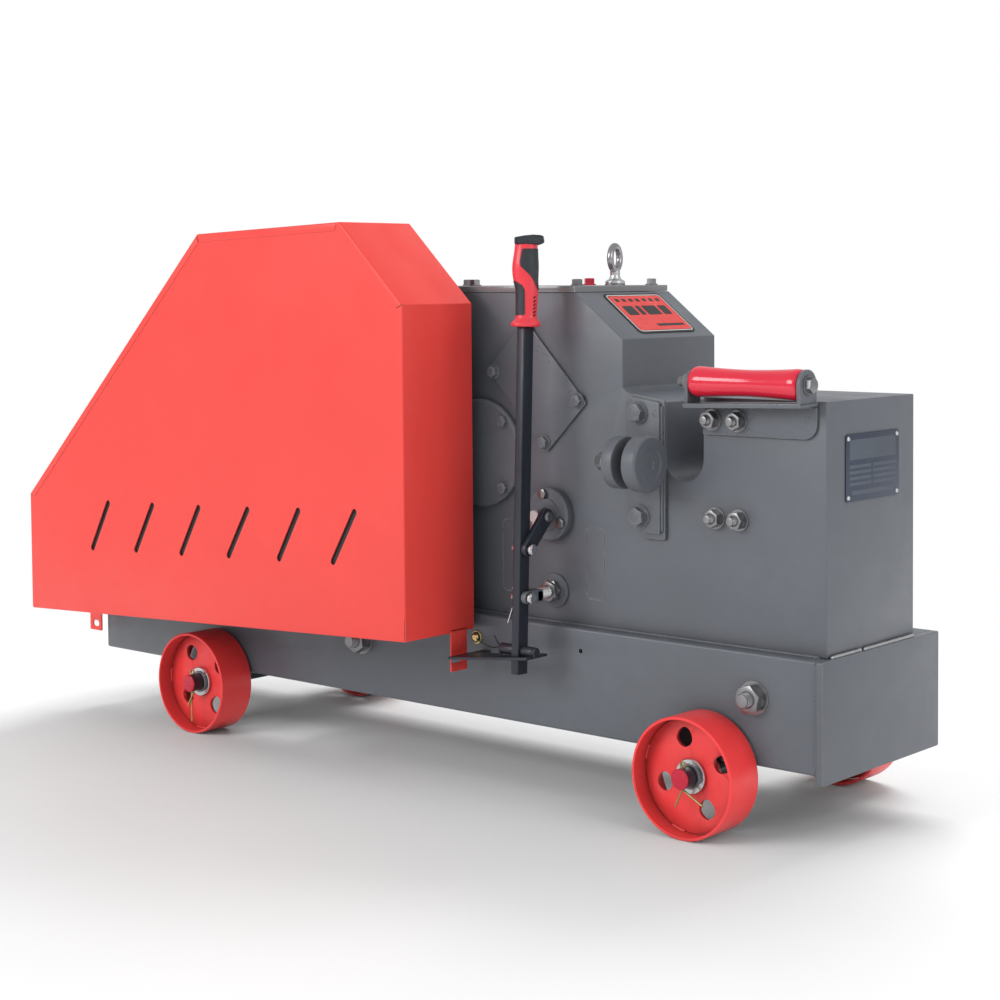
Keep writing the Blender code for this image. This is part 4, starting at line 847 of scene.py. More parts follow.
disc = [(0, 348.7), (20, 347.7), (disc_r - 2.2, 347.7), (disc_r, 350.0), (disc_r, 366.3), (disc_r - 2.2, 368.6), (19, 368.6), (18, 367.7), (7, 367.7), (6, 366.7), (0, 366.7)]
piece("stop_disc_fine", lathe(disc, STOP, "X", 96, soft=0.6), GREY_PLATE, like="stop_disc")
nut = bmesh.new()
absorb(nut, hexagon_body(30, 12.4, 0, both=True, bore=10.7), facing((303.7, *STOP), (1, 0, 0), 0.2))
piece("stop_lock_nut_fine", nut, NUT, like="stop_lock_nut")

# ---------------------------------------------------------------- guide roller
bracket = filleted([(414, 459.5), (570.8, 459.5, 24), (570.8, 496.6), (414, 492.4)], 2.0, 10)
piece("roller_bracket_plate", prism(bracket, BODY_Y0 - 4.4, BODY_Y0 - 0.4), GREY_PLATE, like="roller_bracket", bevel=0.7)


def ear(x0, x1, base, radius, y0, y1):
    return prism([(y0, base), (y1, base)] + arc(ROLLER[0], ROLLER[1], radius, 0, 180, 32), x0, x1, "X",
                 holes=[circle(ROLLER[0], ROLLER[1], 6.3, 32)])


piece("roller_strap", prism([(409.6, 491.6), (571, 497), (571, 502.3), (409.6, 496.9)], -146.5, -109.2), GREY_PLATE, bevel=0.9)
piece("roller_ear_left", ear(409.6, 414.2, 495.0, 13.0, -142.9, -117.1), GREY_PLATE, bevel=0.8)
piece("roller_ear_right", ear(566.4, 571.0, 500.0, 17.5, -146.3, -112.6), GREY_PLATE, bevel=0.8)
seams = bmesh.new()
bead([(408.9, -145, 495.0), (408.9, -113, 495.0)], 1.6, seams, 31)
bead([(571.2, -144.5, 499.6), (571.2, -113, 499.6)], 1.6, seams, 32)
bead([(416, -113.4, 491.0), (566, -113.4, 495.8)], 1.9, seams, 33)
piece("roller_bracket_weld_beads", seams, GREY_PLATE)
bolt = bmesh.new()
lathe([(0, 393), (4.6, 393), (5.6, 394.4)] + [(5.9 if k % 2 else 5.2, 395 + k * 0.8) for k in range(17)] + [(5.9, 409.5), (5.9, 571.2), (0, 571.2)],
      ROLLER, "X", 40, bm=bolt)
absorb(bolt, disc_body(10.8, 6.0, 0, 1.5), facing((571.1, *ROLLER), (1, 0, 0)))
absorb(bolt, hexagon_body(16, 6.4, 1.5), facing((571.1, *ROLLER), (1, 0, 0), 0.35))
piece("roller_axle_bolt_fine", bolt, NUT, like="roller_axle_bolt", smooth=45)
nut = bmesh.new()
absorb(nut, disc_body(10.0, 6.1, 0, 1.5), facing((409.5, *ROLLER), (-1, 0, 0)))
absorb(nut, hexagon_body(16, 6.0, 1.5, both=True, bore=6.0), facing((409.5, *ROLLER), (-1, 0, 0), 0.1))
piece("roller_axle_nut", nut, NUT)
spool = (
    [(6.5, 415.5), (13.2, 415.5), (16.2, 416.7), (17.5, 419.5), (17.9, 423.3)]
    + [(15.2 + 2.7 * abs((x - 490.4) / 67.1) ** 1.7, x) for x in [423.3 + 134.2 * k / 24 for k in range(1, 24)]]
    + [(17.9, 557.5), (17.5, 561.3), (16.2, 564.1), (13.2, 565.3), (6.5, 565.3)]
)
piece("guide_roller_fine", lathe(spool, ROLLER, "X", 80, closed=True), ROLLER_RED, like="guide_roller", smooth=45)
fix = bmesh.new()
fastener(fix, (427.4, BODY_Y0 - 4.4, 477.0), (0, -1, 0), 19, 9, 13, spring=True, stud=6, spin=0.2)
fastener(fix, (463.8, BODY_Y0 - 4.4, 476.8), (0, -1, 0), 19, 9, 13, spring=True, stud=6, spin=0.5)
fastener(fix, (429.5, BODY_Y0, 362.0), (0, -1, 0), 19, 9, 13, spring=True, stud=7, spin=0.5)
fastener(fix, (462.3, BODY_Y0, 361.8), (0, -1, 0), 19, 9, 13, spring=True, stud=7, spin=0.1)
piece("jaw_stud_nuts", fix, NUT)

# ---------------------------------------------------------------- wheels and axles
def split_pin(bm, centre, axis_out, top, drop, splay, r=1.25):
    """A split pin through an axle at height centre z: an eye above it, two bent legs below."""
    x, y, z = centre
    eye = [(x + 3.4 * math.cos(t), y, z + top + 3.2 + 3.4 * math.sin(t)) for t in np.linspace(-math.pi * 0.42, math.pi * 1.42, 17)]
    first, last = eye[0], eye[-1]
    one = path_through([(x + 0.9, y, z - drop), (x + 0.8, y, z + top - 1.5), first], 5)[:-1] + [Vector(p) for p in eye]
    leg_a = path_through([(x - 0.8, y, z + top - 1.0), (x - 0.9, y, z - drop + 2), (x - 1.4, y + 0.4 * axis_out, z - drop - 2), (x + splay[0][0], y + splay[0][1] * axis_out, z + splay[0][2])], 6)
    leg_b = path_through([(x + 0.9, y, z - drop + 1), (x + 1.6, y, z - drop - 2), (x + splay[1][0], y + splay[1][1] * axis_out, z + splay[1][2])], 6)
    sweep(one, r, 10, bm)
    sweep([Vector(last)] + leg_a, r, 10, bm)
    sweep(leg_b, r, 10, bm)
    return bm


axle_r = (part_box("front_axle")[1].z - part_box("front_axle")[0].z) / MM / 2
for name, x in (("front_axle", AXLE_X), ("rear_axle", -AXLE_X)):
    shaft = lathe([(0, -187.6), (axle_r, -187.6), (axle_r, 187.6), (0, 187.6)], (x, WHEEL_R), "Y", 48)
    piece(name + "_bar", shaft, BLACK, like=name)
    ends = bmesh.new()
    for side in (-1, 1):
        lathe([(0, side * 187.4), (axle_r + 0.12, side * 187.4), (axle_r + 0.12, side * 188.2), (axle_r - 1.0, side * 189.2), (0, side * 189.3)],
              (x, WHEEL_R), "Y", 48, soft=0.5, bm=ends)
    piece(name + "_dipped_ends", ends, CRIMSON)
    pins = bmesh.new()
    for side in (-1, 1):
        spread_a = (-9, 3, -33) if x > 0 else (3, 4, -54)
        spread_b = (29, 2, -27) if x > 0 else (-3, 6, -32)
        split_pin(pins, (x, side * 181.5, WHEEL_R), side, axle_r, axle_r, (spread_a, spread_b))
    piece(name + "_split_pins", pins, OLIVE)

recess = 22.0
HOLES = {1: ((104, 44.5, 11), (24, 46, 11), (-60, 42, 11), (198, 41, 10.5)), -1: ((120, 44, 11.5), (33, 46, 11), (-46, 43, 12), (218, 39, 11.5))}
for name, sx, side in (("wheel_front_near", 1, -1), ("wheel_front_far", 1, 1), ("wheel_rear_near", -1, -1), ("wheel_rear_far", -1, 1)):
    c = (sx * AXLE_X, WHEEL_R)
    y = lambda d: side * (WHEEL_OUT - d)
    rim = [(WHEEL_R - 3.4, y(0)), (WHEEL_R - 0.9, y(0)), (WHEEL_R, y(0.9)), (WHEEL_R, y(52.1)), (WHEEL_R - 0.9, y(53)), (WHEEL_R - 3.4, y(53))]
    tyre = lathe(rim, c, "Y", 128, closed=True, soft=0.5)
    for v in tyre.verts:  # the rolled tube is a little out of round
        t = math.atan2(v.co.z - WHEEL_R * MM, v.co.x - (c[0] + OX) * MM)
        v.co.y += 0.00035 * math.sin(3 * t + sx) * (1 if abs(v.co.y / MM - OY) > 160 else 0)
    seams = bmesh.new()
    seam_a = math.radians(-28 if sx > 0 else 64)
    bead([(c[0] + (WHEEL_R - 0.5) * math.cos(seam_a), y(1.5), c[1] + (WHEEL_R - 0.5) * math.sin(seam_a)),
          (c[0] + (WHEEL_R - 0.5) * math.cos(seam_a + 0.03), y(51.5), c[1] + (WHEEL_R - 0.5) * math.sin(seam_a + 0.03))], 0.9, seams, 40 + sx)
    for j in range(4):
        a0 = math.radians(90 * j + (155 if sx > 0 else 170))
        run = [(c[0] + (WHEEL_R - 4.0) * math.cos(a0 + t), y(recess - 0.6), c[1] + (WHEEL_R - 4.0) * math.sin(a0 + t)) for t in np.linspace(0, 0.30, 12)]
        bead(run, 1.9, seams, 44 + j, 4)
    piece(name + "_rim", tyre, RED_WHEEL, like=name, smooth=40)
    piece(name + "_weld_beads", seams, RED_WHEEL, body=frame["nodes"][name]["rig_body"])
    web = prism(circle(*c, WHEEL_R - 4.1, 96), y(recess), y(recess + 5),
                holes=[filleted([(c[0] + r * math.cos(math.radians(a)) + rr * (1 + 0.05 * math.sin(3 * q + a)) * math.cos(q),
                                  c[1] + r * math.sin(math.radians(a)) + rr * (1 + 0.07 * math.cos(2 * q + a)) * math.sin(q))
                                 for q in np.linspace(0, 2 * math.pi, 25)[:-1]], 1.0, 2) for a, r, rr in HOLES[sx]] + [circle(*c, axle_r + 0.5, 48)])
    piece(name + "_web", web, RED_WHEEL, body=frame["nodes"][name]["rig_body"], bevel=0.6, angle=50)
    hub = lathe([(axle_r + 0.4, y(recess + 5)), (axle_r + 8, y(recess + 5)), (axle_r + 7, y(53)), (axle_r + 0.4, y(53))], c, "Y", 64, closed=True, soft=0.8)
    piece(name + "_hub_tube", hub, RED_WHEEL, body=frame["nodes"][name]["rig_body"])
    washers = bmesh.new()
    absorb(washers, disc_body(20.5, axle_r + 0.6, 0.3, 4.6, 64, 0.8), facing((c[0], y(recess), c[1] - (0.5 if sx > 0 else 0.4)), (0, side, 0)))
    # painted shadow: the dark ring laid on the washer's face stands in for the axle's shadow
    ring = bmesh.new()
    absorb(ring, disc_body(15.0, axle_r + 0.5, 4.8, 2.2, 64, 0.6), facing((c[0], y(recess), c[1]), (0, side, 0)))
    piece(name + "_axle_shadow_ring", ring, NUT, body=frame["nodes"][name]["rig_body"])
    piece(name + "_washer", washers, ZINC, body=frame["nodes"][name]["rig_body"])

# ---------------------------------------------------------------- lever and linkage
pivot = at(*LEVER)
lean = Matrix.Translation(pivot) @ Matrix.Rotation(-LEAN, 4, "X") @ Matrix.Translation(-pivot)


def leaning(bm):
    bmesh.ops.transform(bm, matrix=lean, verts=bm.verts[:])
    return bm


def on_lever(z):
    return LEVER[1] + (z - LEVER[2]) * math.tan(LEAN)


bar = leaning(prism(rounded(178.2, LEVER[1] - 9.2, 189.8, LEVER[1] + 9.2, 1.3, 4), 160, 596, "Z"))
piece("clutch_lever_fine", bar, BLACK, like="clutch_lever", bevel=0.8, angle=60,
      cuts=[rod((LEVER[1], LEVER[2]), 170, 200, 4.4, "X", 32)])
pins = bmesh.new()
for z in (254.0, 313.0):
    lathe([(0, 171.6), (4.4, 171.6), (4.4, 200.5), (0, 200.5)], (on_lever(z), z), "X", 36, soft=0.6, bm=pins)
    lathe([(0, 200.3), (7.2, 200.3), (7.2, 203.4), (5.4, 205.2), (0, 205.2)], (on_lever(z), z), "X", 40, soft=0.6, bm=pins)
piece("lever_clevis_pins", pins, ZINC, body="clutch_lever")

CAM_YAW = 0.6949
side_way = Vector((math.cos(CAM_YAW), math.sin(CAM_YAW), 0))
deep_way = Vector((-math.sin(CAM_YAW), math.cos(CAM_YAW), 0))
GRIP = [  # height, half width, sideways shift, half depth
    (583.4, 16.6, 0.2, 16.0), (585.0, 18.0, 0.3, 17.4), (587.6, 18.0, 0.4, 17.2), (590.6, 15.6, 0.9, 15.0), (594.2, 13.3, 0.9, 13.0),
    (600.0, 12.9, 1.0, 12.6), (611.7, 13.2, 1.2, 12.8), (621.4, 13.5, 1.4, 13.0), (630.2, 13.9, 1.0, 13.3), (639.0, 14.9, -0.5, 13.9),
    (648.7, 15.8, -1.3, 14.4), (658.5, 15.9, -1.4, 14.5), (668.2, 15.0, -1.1, 14.1), (676.0, 14.3, -0.8, 13.8), (683.8, 13.9, -0.7, 13.6),
]


def grip_loft(grow, z_lo=0, z_hi=1e9, n=64):
    rings = []
    levels = [g for g in GRIP if z_lo <= g[0] <= z_hi]
    for i, (z, a, shift, b) in enumerate(levels):
        ring = []
        for k in range(n):
            t = 2 * math.pi * k / n
            p = 2.35
            cu = math.copysign(abs(math.cos(t)) ** (2 / p), math.cos(t))
            cv = math.copysign(abs(math.sin(t)) ** (2 / p), math.sin(t))
            offset = side_way * ((a + grow) * cu + shift) + deep_way * ((b + grow) * cv)
            zz = z + (-grow if i == 0 and grow < 0 else 0)
            ring.append(at(LEVER[0] + offset.x, LEVER[1] + offset.y, zz))
        rings.append(ring)
    bm = stack(rings)
    return leaning(bm)


def smooth_grip(grow):
    """The loft with its levels filled in by a spline."""
    global GRIP
    kept = GRIP
    dense = []
    for i in range(len(kept) - 1):
        p = [np.array(kept[max(0, min(len(kept) - 1, i + d))]) for d in (-1, 0, 1, 2)]
        for k in range(4):
            t = k / 4
            dense.append(tuple(0.5 * ((2 * p[1]) + (p[2] - p[0]) * t + (2 * p[0] - 5 * p[1] + 4 * p[2] - p[3]) * t * t + (3 * p[1] - p[0] - 3 * p[2] + p[3]) * t ** 3)))
    dense.append(kept[-1])
    GRIP = dense
    made = grip_loft(grow)
    GRIP = kept
    return made


def grip_prism(points, lo=-30.0, hi=30.0):
    """An outline drawn on the grip's face, (sideways, height), carried through it front to back."""
    rings = []
    for depth in (lo, hi):
        rings.append([at(LEVER[0] + side_way.x * u + deep_way.x * depth, LEVER[1] + side_way.y * u + deep_way.y * depth, z) for u, z in points])
    return leaning(stack(rings))


def crop(points):
    """Grip drawing units to millimetres: sideways from the bar's centre, and height."""
    return [((x - 457) * 0.0938, 694.8 - (y - 150) * 0.0922) for x, y in points]


upper = filleted(crop([(402, 336), (720, 326), (720, 900), (612, 868), (560, 752), (508, 680), (384, 566), (374, 500)]), 1.6, 5)
lower = filleted(crop([(180, 752), (318, 762), (412, 818), (444, 880), (452, 1205), (180, 1214)]), 2.0, 5)
vents = [crop([(548, y + 14), (572, y - 16), (594, y - 16), (570, y + 14)]) for y in (972, 1020, 1067, 1115, 1163, 1208)]
piece("lever_grip_shell", smooth_grip(0.0), PLASTIC, like="lever_grip", smooth=50,
      cuts=[leaning(box(177.9, 190.1, LEVER[1] - 9.5, LEVER[1] + 9.5, 570, 596.4))] + [grip_prism(v, -30, 0) for v in vents])
piece("lever_grip_upper_pad", smooth_grip(0.55), SOFT_BLACK, body="clutch_lever", keeps=[grip_prism(upper)], smooth=40)
piece("lever_grip_lower_pad", smooth_grip(0.55), SOFT_BLACK, body="clutch_lever", keeps=[grip_prism(lower)], smooth=40)
# painted shade: a dark fill just under the surface at the bottom of the vent slots stands in for the shade inside them
piece("lever_grip_vent_shade_fill", smooth_grip(-1.2), DARK_PLASTIC, body="clutch_lever",
      keeps=[grip_prism(crop([(535, 945), (600, 945), (600, 1240), (535, 1240)]), -30, 0)], smooth=40)
cap_top = filleted(crop([(300, 276), (298, 205), (304, 186), (420, 162), (540, 148), (630, 152), (672, 164), (684, 232), (668, 250), (606, 276)]), 1.2, 4)
piece("lever_grip_cap", grip_prism(cap_top, -15.5, 15.5), SOFT_BLACK, body="clutch_lever", bevel=2.6, segments=4, angle=55)

piece("lever_pivot_strap", prism([(77, 166.8), (208, 181.0), (208, 184.6), (77, 170.4)], -193, -154),
      BLACK, like="lever_pivot_bracket", bevel=0.8, segments=3, angle=60,
      cuts=[box(177.6, 190.4, -189.0, -163.5, 165, 195), rod((LEVER[1], LEVER[2]), 150, 215, 4.4, "X", 32)])
piece("lever_pivot_barrel_left", lathe([(4.4, 155), (6.8, 155), (6.8, 177.5), (4.4, 177.5)], (LEVER[1], LEVER[2]), "X", 48, closed=True, soft=0.7),
      BLACK)
piece("lever_pivot_barrel_right", lathe([(4.4, 190.5), (6.8, 190.5), (6.8, 208), (4.4, 208)], (LEVER[1], LEVER[2]), "X", 48, closed=True, soft=0.7),
      BLACK)
piece("lever_bracket_foot", box(77, 91, -160, -128.5, 167.2, 170.2), BLACK, bevel=0.7)
seams = bmesh.new()
bead([(156.5, -178, 180.6), (176.5, -178, 182.4)], 2.6, seams, 51, 4)
bead([(191.5, -172.4, 184.4), (206.5, -172.4, 185.4)], 1.6, seams, 52, 3)
piece("lever_bracket_weld_beads", seams, BLACK, cuts=[rod((LEVER[1], LEVER[2]), 150, 215, 4.45, "X", 32)])
pin = lathe([(0, 151), (3.0, 151), (4.0, 152), (4.0, 208.4), (6.4, 208.4), (6.4, 211), (5.4, 212), (0, 212)], (LEVER[1], LEVER[2]), "X", 40, soft=0.4)
piece("lever_pivot_pin_fine", pin, BLACK, like="lever_pivot_pin")
wire = bmesh.new()
sweep(path_through([(67.3, -131.4, 184.0), (80, -134, 180.5), (104, -142, 178.5), (128, -158, 183.5), (144, -170, 188.5), (152, -178.5, 190.5)], 8), 0.8, 8, wire)
sweep(path_through([(67.3 + 6.4 * math.cos(t), -130.6, 185.1 + 6.4 * math.sin(t)) for t in np.linspace(-0.6, 5.2, 12)], 3), 0.8, 8, wire)
sweep(path_through([(143, -179, 203), (147, -179, 197), (151.5, -178, 191), (153.4, -178, 184), (153.8, -178, 178)], 5), 1.2, 8, wire)
piece("pivot_pin_tether", wire, DARK_PLASTIC)

shift = lathe([(0, -147), (7.2, -147), (8, -146), (8, -17), (7, -16), (0, -16)], SHIFT_ROD, "Y", 48)
piece("clutch_shift_rod_fine", shift, STEEL, like="clutch_shift_rod")
link = prism(obround(-139, SHIFT_ROD[1], on_lever(313), 313.0, 10, 20, 9), 190.4, 197.3, "X",
             holes=[obround(on_lever(313), 312.2, on_lever(313), 313.6, 4.9, 12)])
piece("clutch_link_fine", link, BLACK, like="clutch_link", bevel=0.9, angle=60)
cross = bmesh.new()
lathe([(0, 168.6), (4.2, 168.6), (4.2, 197.0), (0, 197.0)], (-139, SHIFT_ROD[1]), "X", 36, soft=0.5, bm=cross)
lathe([(0, 197.0), (6.6, 197.0), (6.6, 199.4), (5.0, 201.0), (0, 201.0)], (-139, SHIFT_ROD[1]), "X", 40, soft=0.5, bm=cross)
piece("clutch_link_cross_pin", cross, NUT, body=frame["nodes"]["clutch_link"]["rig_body"])
pull = bmesh.new()
lathe([(0, -157), (7.0, -157), (7.0, -155)] + [(7.0 if k % 2 else 6.2, -150 + k) for k in range(30)] + [(7.0, -118), (7.0, -70), (0, -70)], PULL_ROD, "Y", 40, bm=pull)
piece("pull_rod_fine", pull, STEEL, like="pull_rod", smooth=50)
piece("pull_rod_knuckle", box(177, 198, -160, -148, 246.5, 261.5), GREY_PLATE,
      body=frame["nodes"]["pull_rod"]["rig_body"], bevel=1.6, segments=3, angle=60)
piece("pull_rod_eye", prism(obround(-156, 254.0, on_lever(254), 254.0, 7.5, 20), 190.4, 198, "X", holes=[circle(on_lever(254), 254.0, 5.1, 32)]), GREY_PLATE,
      body=frame["nodes"]["pull_rod"]["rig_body"], bevel=0.9, segments=3, angle=60)
fix = bmesh.new()
y254 = on_lever(254)
sweep(path_through([(174.0, y254, 262), (174.0, y254, 258), (174.0, y254, 248), (171, y254 - 2, 236), (166.5, y254 - 4, 221)], 6), 1.1, 10, fix)
sweep([(174.0 + 0, y254 + 2.6 * math.cos(t), 264 + 2.6 * math.sin(t)) for t in np.linspace(-1.2, 4.4, 18)], 1.1, 10, fix)
piece("pull_rod_split_pin", fix, ZINC, body="clutch_lever")

# ---------------------------------------------------------------- belt drive
FW_R, MP_R = 205.0, 50.0


def grooves(outer, n_groove=9.0):
    out = []
    for y in sorted(BELT_Y):
        out += [(outer + 4, y - 7.6), (outer - n_groove, y - 4.8), (outer - n_groove, y + 4.8), (outer + 4, y + 7.6)]
    return out


fly = (
    [(18.25, -212), (36, -212), (36, -188), (48, -186), (FW_R - 32, -186), (FW_R - 24, -189), (FW_R - 24, -203), (FW_R + 4, -203)]
    + grooves(FW_R) + [(FW_R + 4, -150), (FW_R - 24, -150), (FW_R - 24, -169), (FW_R - 32, -172), (48, -172), (36, -170), (36, -142), (18.25, -142)]
)
piece("flywheel_fine", lathe(fly, INPUT, "Y", 160, closed=True, soft=0.9), IRON, like="flywheel",
      cuts=[rod((INPUT[0] + 112 * math.cos(a), INPUT[1] + 112 * math.sin(a)), -195, -160, 34, n=48) for a in [math.radians(30 + 60 * k) for k in range(6)]])
key = bmesh.new()
box(INPUT[0] - 4, INPUT[0] + 4, -213, -143, INPUT[1] + 14.6, INPUT[1] + 21.5, key)
lathe([(0, -225.2), (12, -225.2), (12, -227), (0, -227)], INPUT, "Y", 40, bm=key)
piece("flywheel_key_and_keeper", key, STEEL, body=frame["nodes"]["flywheel"]["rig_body"], bevel=0.4)
small = [(14.3, -200), (30, -200), (30, -196), (MP_R + 4, -194)] + grooves(MP_R) + [(MP_R + 4, -150), (14.3, -150)]
piece("motor_pulley_fine", lathe(small, MOTOR, "Y", 96, closed=True, soft=0.8), IRON, like="motor_pulley")


def belt_loop(r_big, r_small):
    dx, dz = INPUT[0] - MOTOR[0], INPUT[1] - MOTOR[1]
    turn = math.degrees(math.atan2(dz, dx))
    lean_deg = math.degrees(math.asin((r_big - r_small) / math.hypot(dx, dz)))
    big = arc(*INPUT, r_big, turn - 90 - lean_deg, turn + 90 + lean_deg, 90)
    little = arc(*MOTOR, r_small, turn + 90 + lean_deg, turn + 270 - lean_deg, 40)
    out = []
    for a, b in ((big, little), (little, big)):
        out += a
        p, q = Vector(a[-1]), Vector(b[0])
        out += [tuple(p.lerp(q, k / 24)) for k in range(1, 24)]
    return out


for node, y in (("v_belt_inner", BELT_Y[0]), ("v_belt_outer", BELT_Y[1])):
    section = [(0.9, -5.6), (1.1, 0.0), (0.9, 5.6), (0.2, 6.5), (-0.8, 6.4), (-7.2, 4.4), (-7.5, 4.0), (-7.5, -4.0), (-7.2, -4.4), (-0.8, -6.4), (0.2, -6.5)]
    loops = [belt_loop(FW_R + 2 + dr, MP_R + 2 + dr) for dr, _ in section]
    rings = [[spot("Y", loops[j][i][0], loops[j][i][1], y + section[j][1]) for j in range(len(section))] for i in range(len(loops[0]))]
    piece(node + "_fine", stack(rings, closed=True), RUBBER, like=node)

# ---------------------------------------------------------------- motor
fins = 40
outline = []
for k in range(fins):
    for share, r in ((-0.34, 84.0), (-0.17, 86.0), (-0.13, 94.6), (-0.06, 95.0), (0.06, 95.0), (0.13, 94.6), (0.17, 86.0), (0.34, 84.0)):
        a = 2 * math.pi * (k + share) / fins
        outline.append((MOTOR[0] + r * math.cos(a), MOTOR[1] + r * math.sin(a)))
piece("motor_stator_frame_fine", prism(outline, -78, 96, holes=[circle(*MOTOR, 64, 72)]), MOTOR_PAINT, like="motor_stator_frame",
      bevel=0.5, angle=60)
feet = bmesh.new()
for s in (-1, 1):
    for y0, y1 in ((-66, -38), (56, 84)):
        prism(filleted([(MOTOR[0] + s * 86, 229.0), (MOTOR[0] + s * 30, 229.0), (MOTOR[0] + s * 42, 262), (MOTOR[0] + s * 62, 270), (MOTOR[0] + s * 64, 240), (MOTOR[0] + s * 86, 238)], 3), y0, y1, bm=feet)
piece("motor_feet", feet, MOTOR_PAINT, bevel=1.0)
fix = bmesh.new()
for s in (-1, 1):
    for y in (-52, 70):
        fastener(fix, (MOTOR[0] + s * 76, y, 238.2), (0, 0, 1), 15, 7, 10, spring=True, spin=0.4 * s + 0.1 * y)
piece("motor_foot_bolts", fix, ZINC)
shield = [(14.4, -104), (28, -104), (33, -100), (40, -97), (74, -90), (88, -88), (92, -84), (92, -78.3), (62, -78.3), (58, -84), (14.4, -92)]
piece("motor_end_shield_fine", lathe(shield, MOTOR, "Y", 96, closed=True, soft=1.2), MOTOR_PAINT, like="motor_end_shield")
fix = bmesh.new()
for k in range(4):
    a = math.radians(45 + 90 * k)
    fastener(fix, (MOTOR[0] + 82 * math.cos(a), -88.6, MOTOR[1] + 82 * math.sin(a)), (0, -1, 0), 10, 4.5, 7.5, spin=0.3 * k)
piece("motor_shield_bolts", fix, ZINC)
ribs = bmesh.new()
for k in range(8):
    a = math.radians(22.5 + 45 * k)
    c, s = math.cos(a), math.sin(a)
    path = [(MOTOR[0] + r * c, y, MOTOR[1] + r * s) for r, y in ((38, -99.5), (52, -95.5), (68, -92.0), (82, -89.0))]
    sweep(path, 2.2, 10, ribs)
piece("motor_shield_ribs", ribs, MOTOR_PAINT)
cowl = [(0, 182), (60, 182), (80, 175), (90, 164), (92, 156), (92, 96.3), (90.4, 96.3), (90.4, 156), (88.5, 163), (79, 173.4), (60, 180.2), (0, 180.2)]
vent_cuts = bmesh.new()
for ring_r, count, w in ((20, 6, 3.0), (36, 10, 3.0), (52, 14, 3.0)):
    for k in range(count):
        a = 2 * math.pi * k / count
        half = math.degrees(math.pi / count) - math.degrees(3.2 / ring_r)
        deg = math.degrees(a)
        prism(arc(*MOTOR, ring_r + w, deg - half, deg + half, 8) + arc(*MOTOR, ring_r - w, deg + half, deg - half, 8), 172, 190, bm=vent_cuts)
piece("motor_fan_cowl_fine", lathe(cowl, MOTOR, "Y", 96, soft=1.0), MOTOR_PAINT, like="motor_fan_cowl", cuts=[vent_cuts])
fix = bmesh.new()
for k in range(4):
    a = math.radians(45 + 90 * k)
    fastener(fix, (MOTOR[0] + 91.6 * math.cos(a), 103, MOTOR[1] + 91.6 * math.sin(a)), (math.cos(a), 0, math.sin(a)), 7, 2.6)
piece("motor_cowl_screws", fix, ZINC)
piece("motor_terminal_box_fine", prism(rounded(MOTOR[0] - 45, -38, MOTOR[0] + 45, 52, 10, 8), MOTOR[1] + 95.4, MOTOR[1] + 124.5, "Z"), MOTOR_PAINT,
      like="motor_terminal_box", bevel=1.0)
piece("motor_terminal_box_lid", prism(rounded(MOTOR[0] - 46, -39, MOTOR[0] + 46, 53, 11, 8), MOTOR[1] + 125.4, MOTOR[1] + 133, "Z"), MOTOR_PAINT,
      bevel=1.8, segments=3)
piece("motor_terminal_box_gasket", prism(rounded(MOTOR[0] - 44, -37, MOTOR[0] + 44, 51, 9, 8), MOTOR[1] + 124.3, MOTOR[1] + 125.6, "Z"), RUBBER)
fix = bmesh.new()
for x in (-37, 37):
    for y in (-30, 44):
        cap_screw(fix, (MOTOR[0] + x, y, MOTOR[1] + 132.8), (0, 0, 1), 4.0, 3.2)
piece("motor_terminal_box_screws", fix, ZINC)
gland = bmesh.new()
absorb(gland, hexagon_body(22, 7, 0, both=True, bore=7), facing((MOTOR[0] + 45, 7, MOTOR[1] + 110), (1, 0, 0)))
absorb(gland, stack([local_ring(9.5, 6.5), local_ring(9.5, 16), local_ring(8.2, 19), local_ring(6.8, 19.5), local_ring(6.8, 12)]), facing((MOTOR[0] + 45, 7, MOTOR[1] + 110), (1, 0, 0)))
piece("motor_cable_gland", gland, DARK_PLASTIC)
base = prism(filleted([(MOTOR[0] - 96, -82), (MOTOR[0] + 96, -82), (MOTOR[0] + 96, 100), (MOTOR[0] - 96, 100)], 6), 214.6, 228.7, "Z",
             holes=[rounded(MOTOR[0] - 24, -60, MOTOR[0] + 24, 78, 8)])
piece("motor_base_fine", base, GREY, like="motor_base", bevel=1.0)
rotor = [(0, -206), (12, -206), (14, -204), (14, -60), (60, -58), (60, 70), (14, 72), (14, 150), (12, 152), (0, 152)]
piece("motor_rotor_fine", lathe(rotor, MOTOR, "Y", 72, soft=0.5), STEEL, like="motor_rotor")
refined("motor_fan", DARK_PLASTIC, 0.3)

# ---------------------------------------------------------------- belt guard
guard = [(-696.9, 163.0), (74.0, 198.0), (74.0, 611.0), (-34.0, 713.5), (-309.0, 703.5), (-696.9, 331.8)]
GUARD_Y0, GUARD_Y1 = -264.4, -139.4


def shrunk(points, by):
    out = []
    n = len(points)
    for i in range(n):
        p, q, r = (Vector(points[j % n]) for j in (i - 1, i, i + 1))
        a, b = (q - p).normalized(), (r - q).normalized()
        na, nb = Vector((-a.y, a.x)), Vector((-b.y, b.x))
        m = (na + nb).normalized()
        out.append(tuple(q + m * (by / m.dot(na))))
    return out


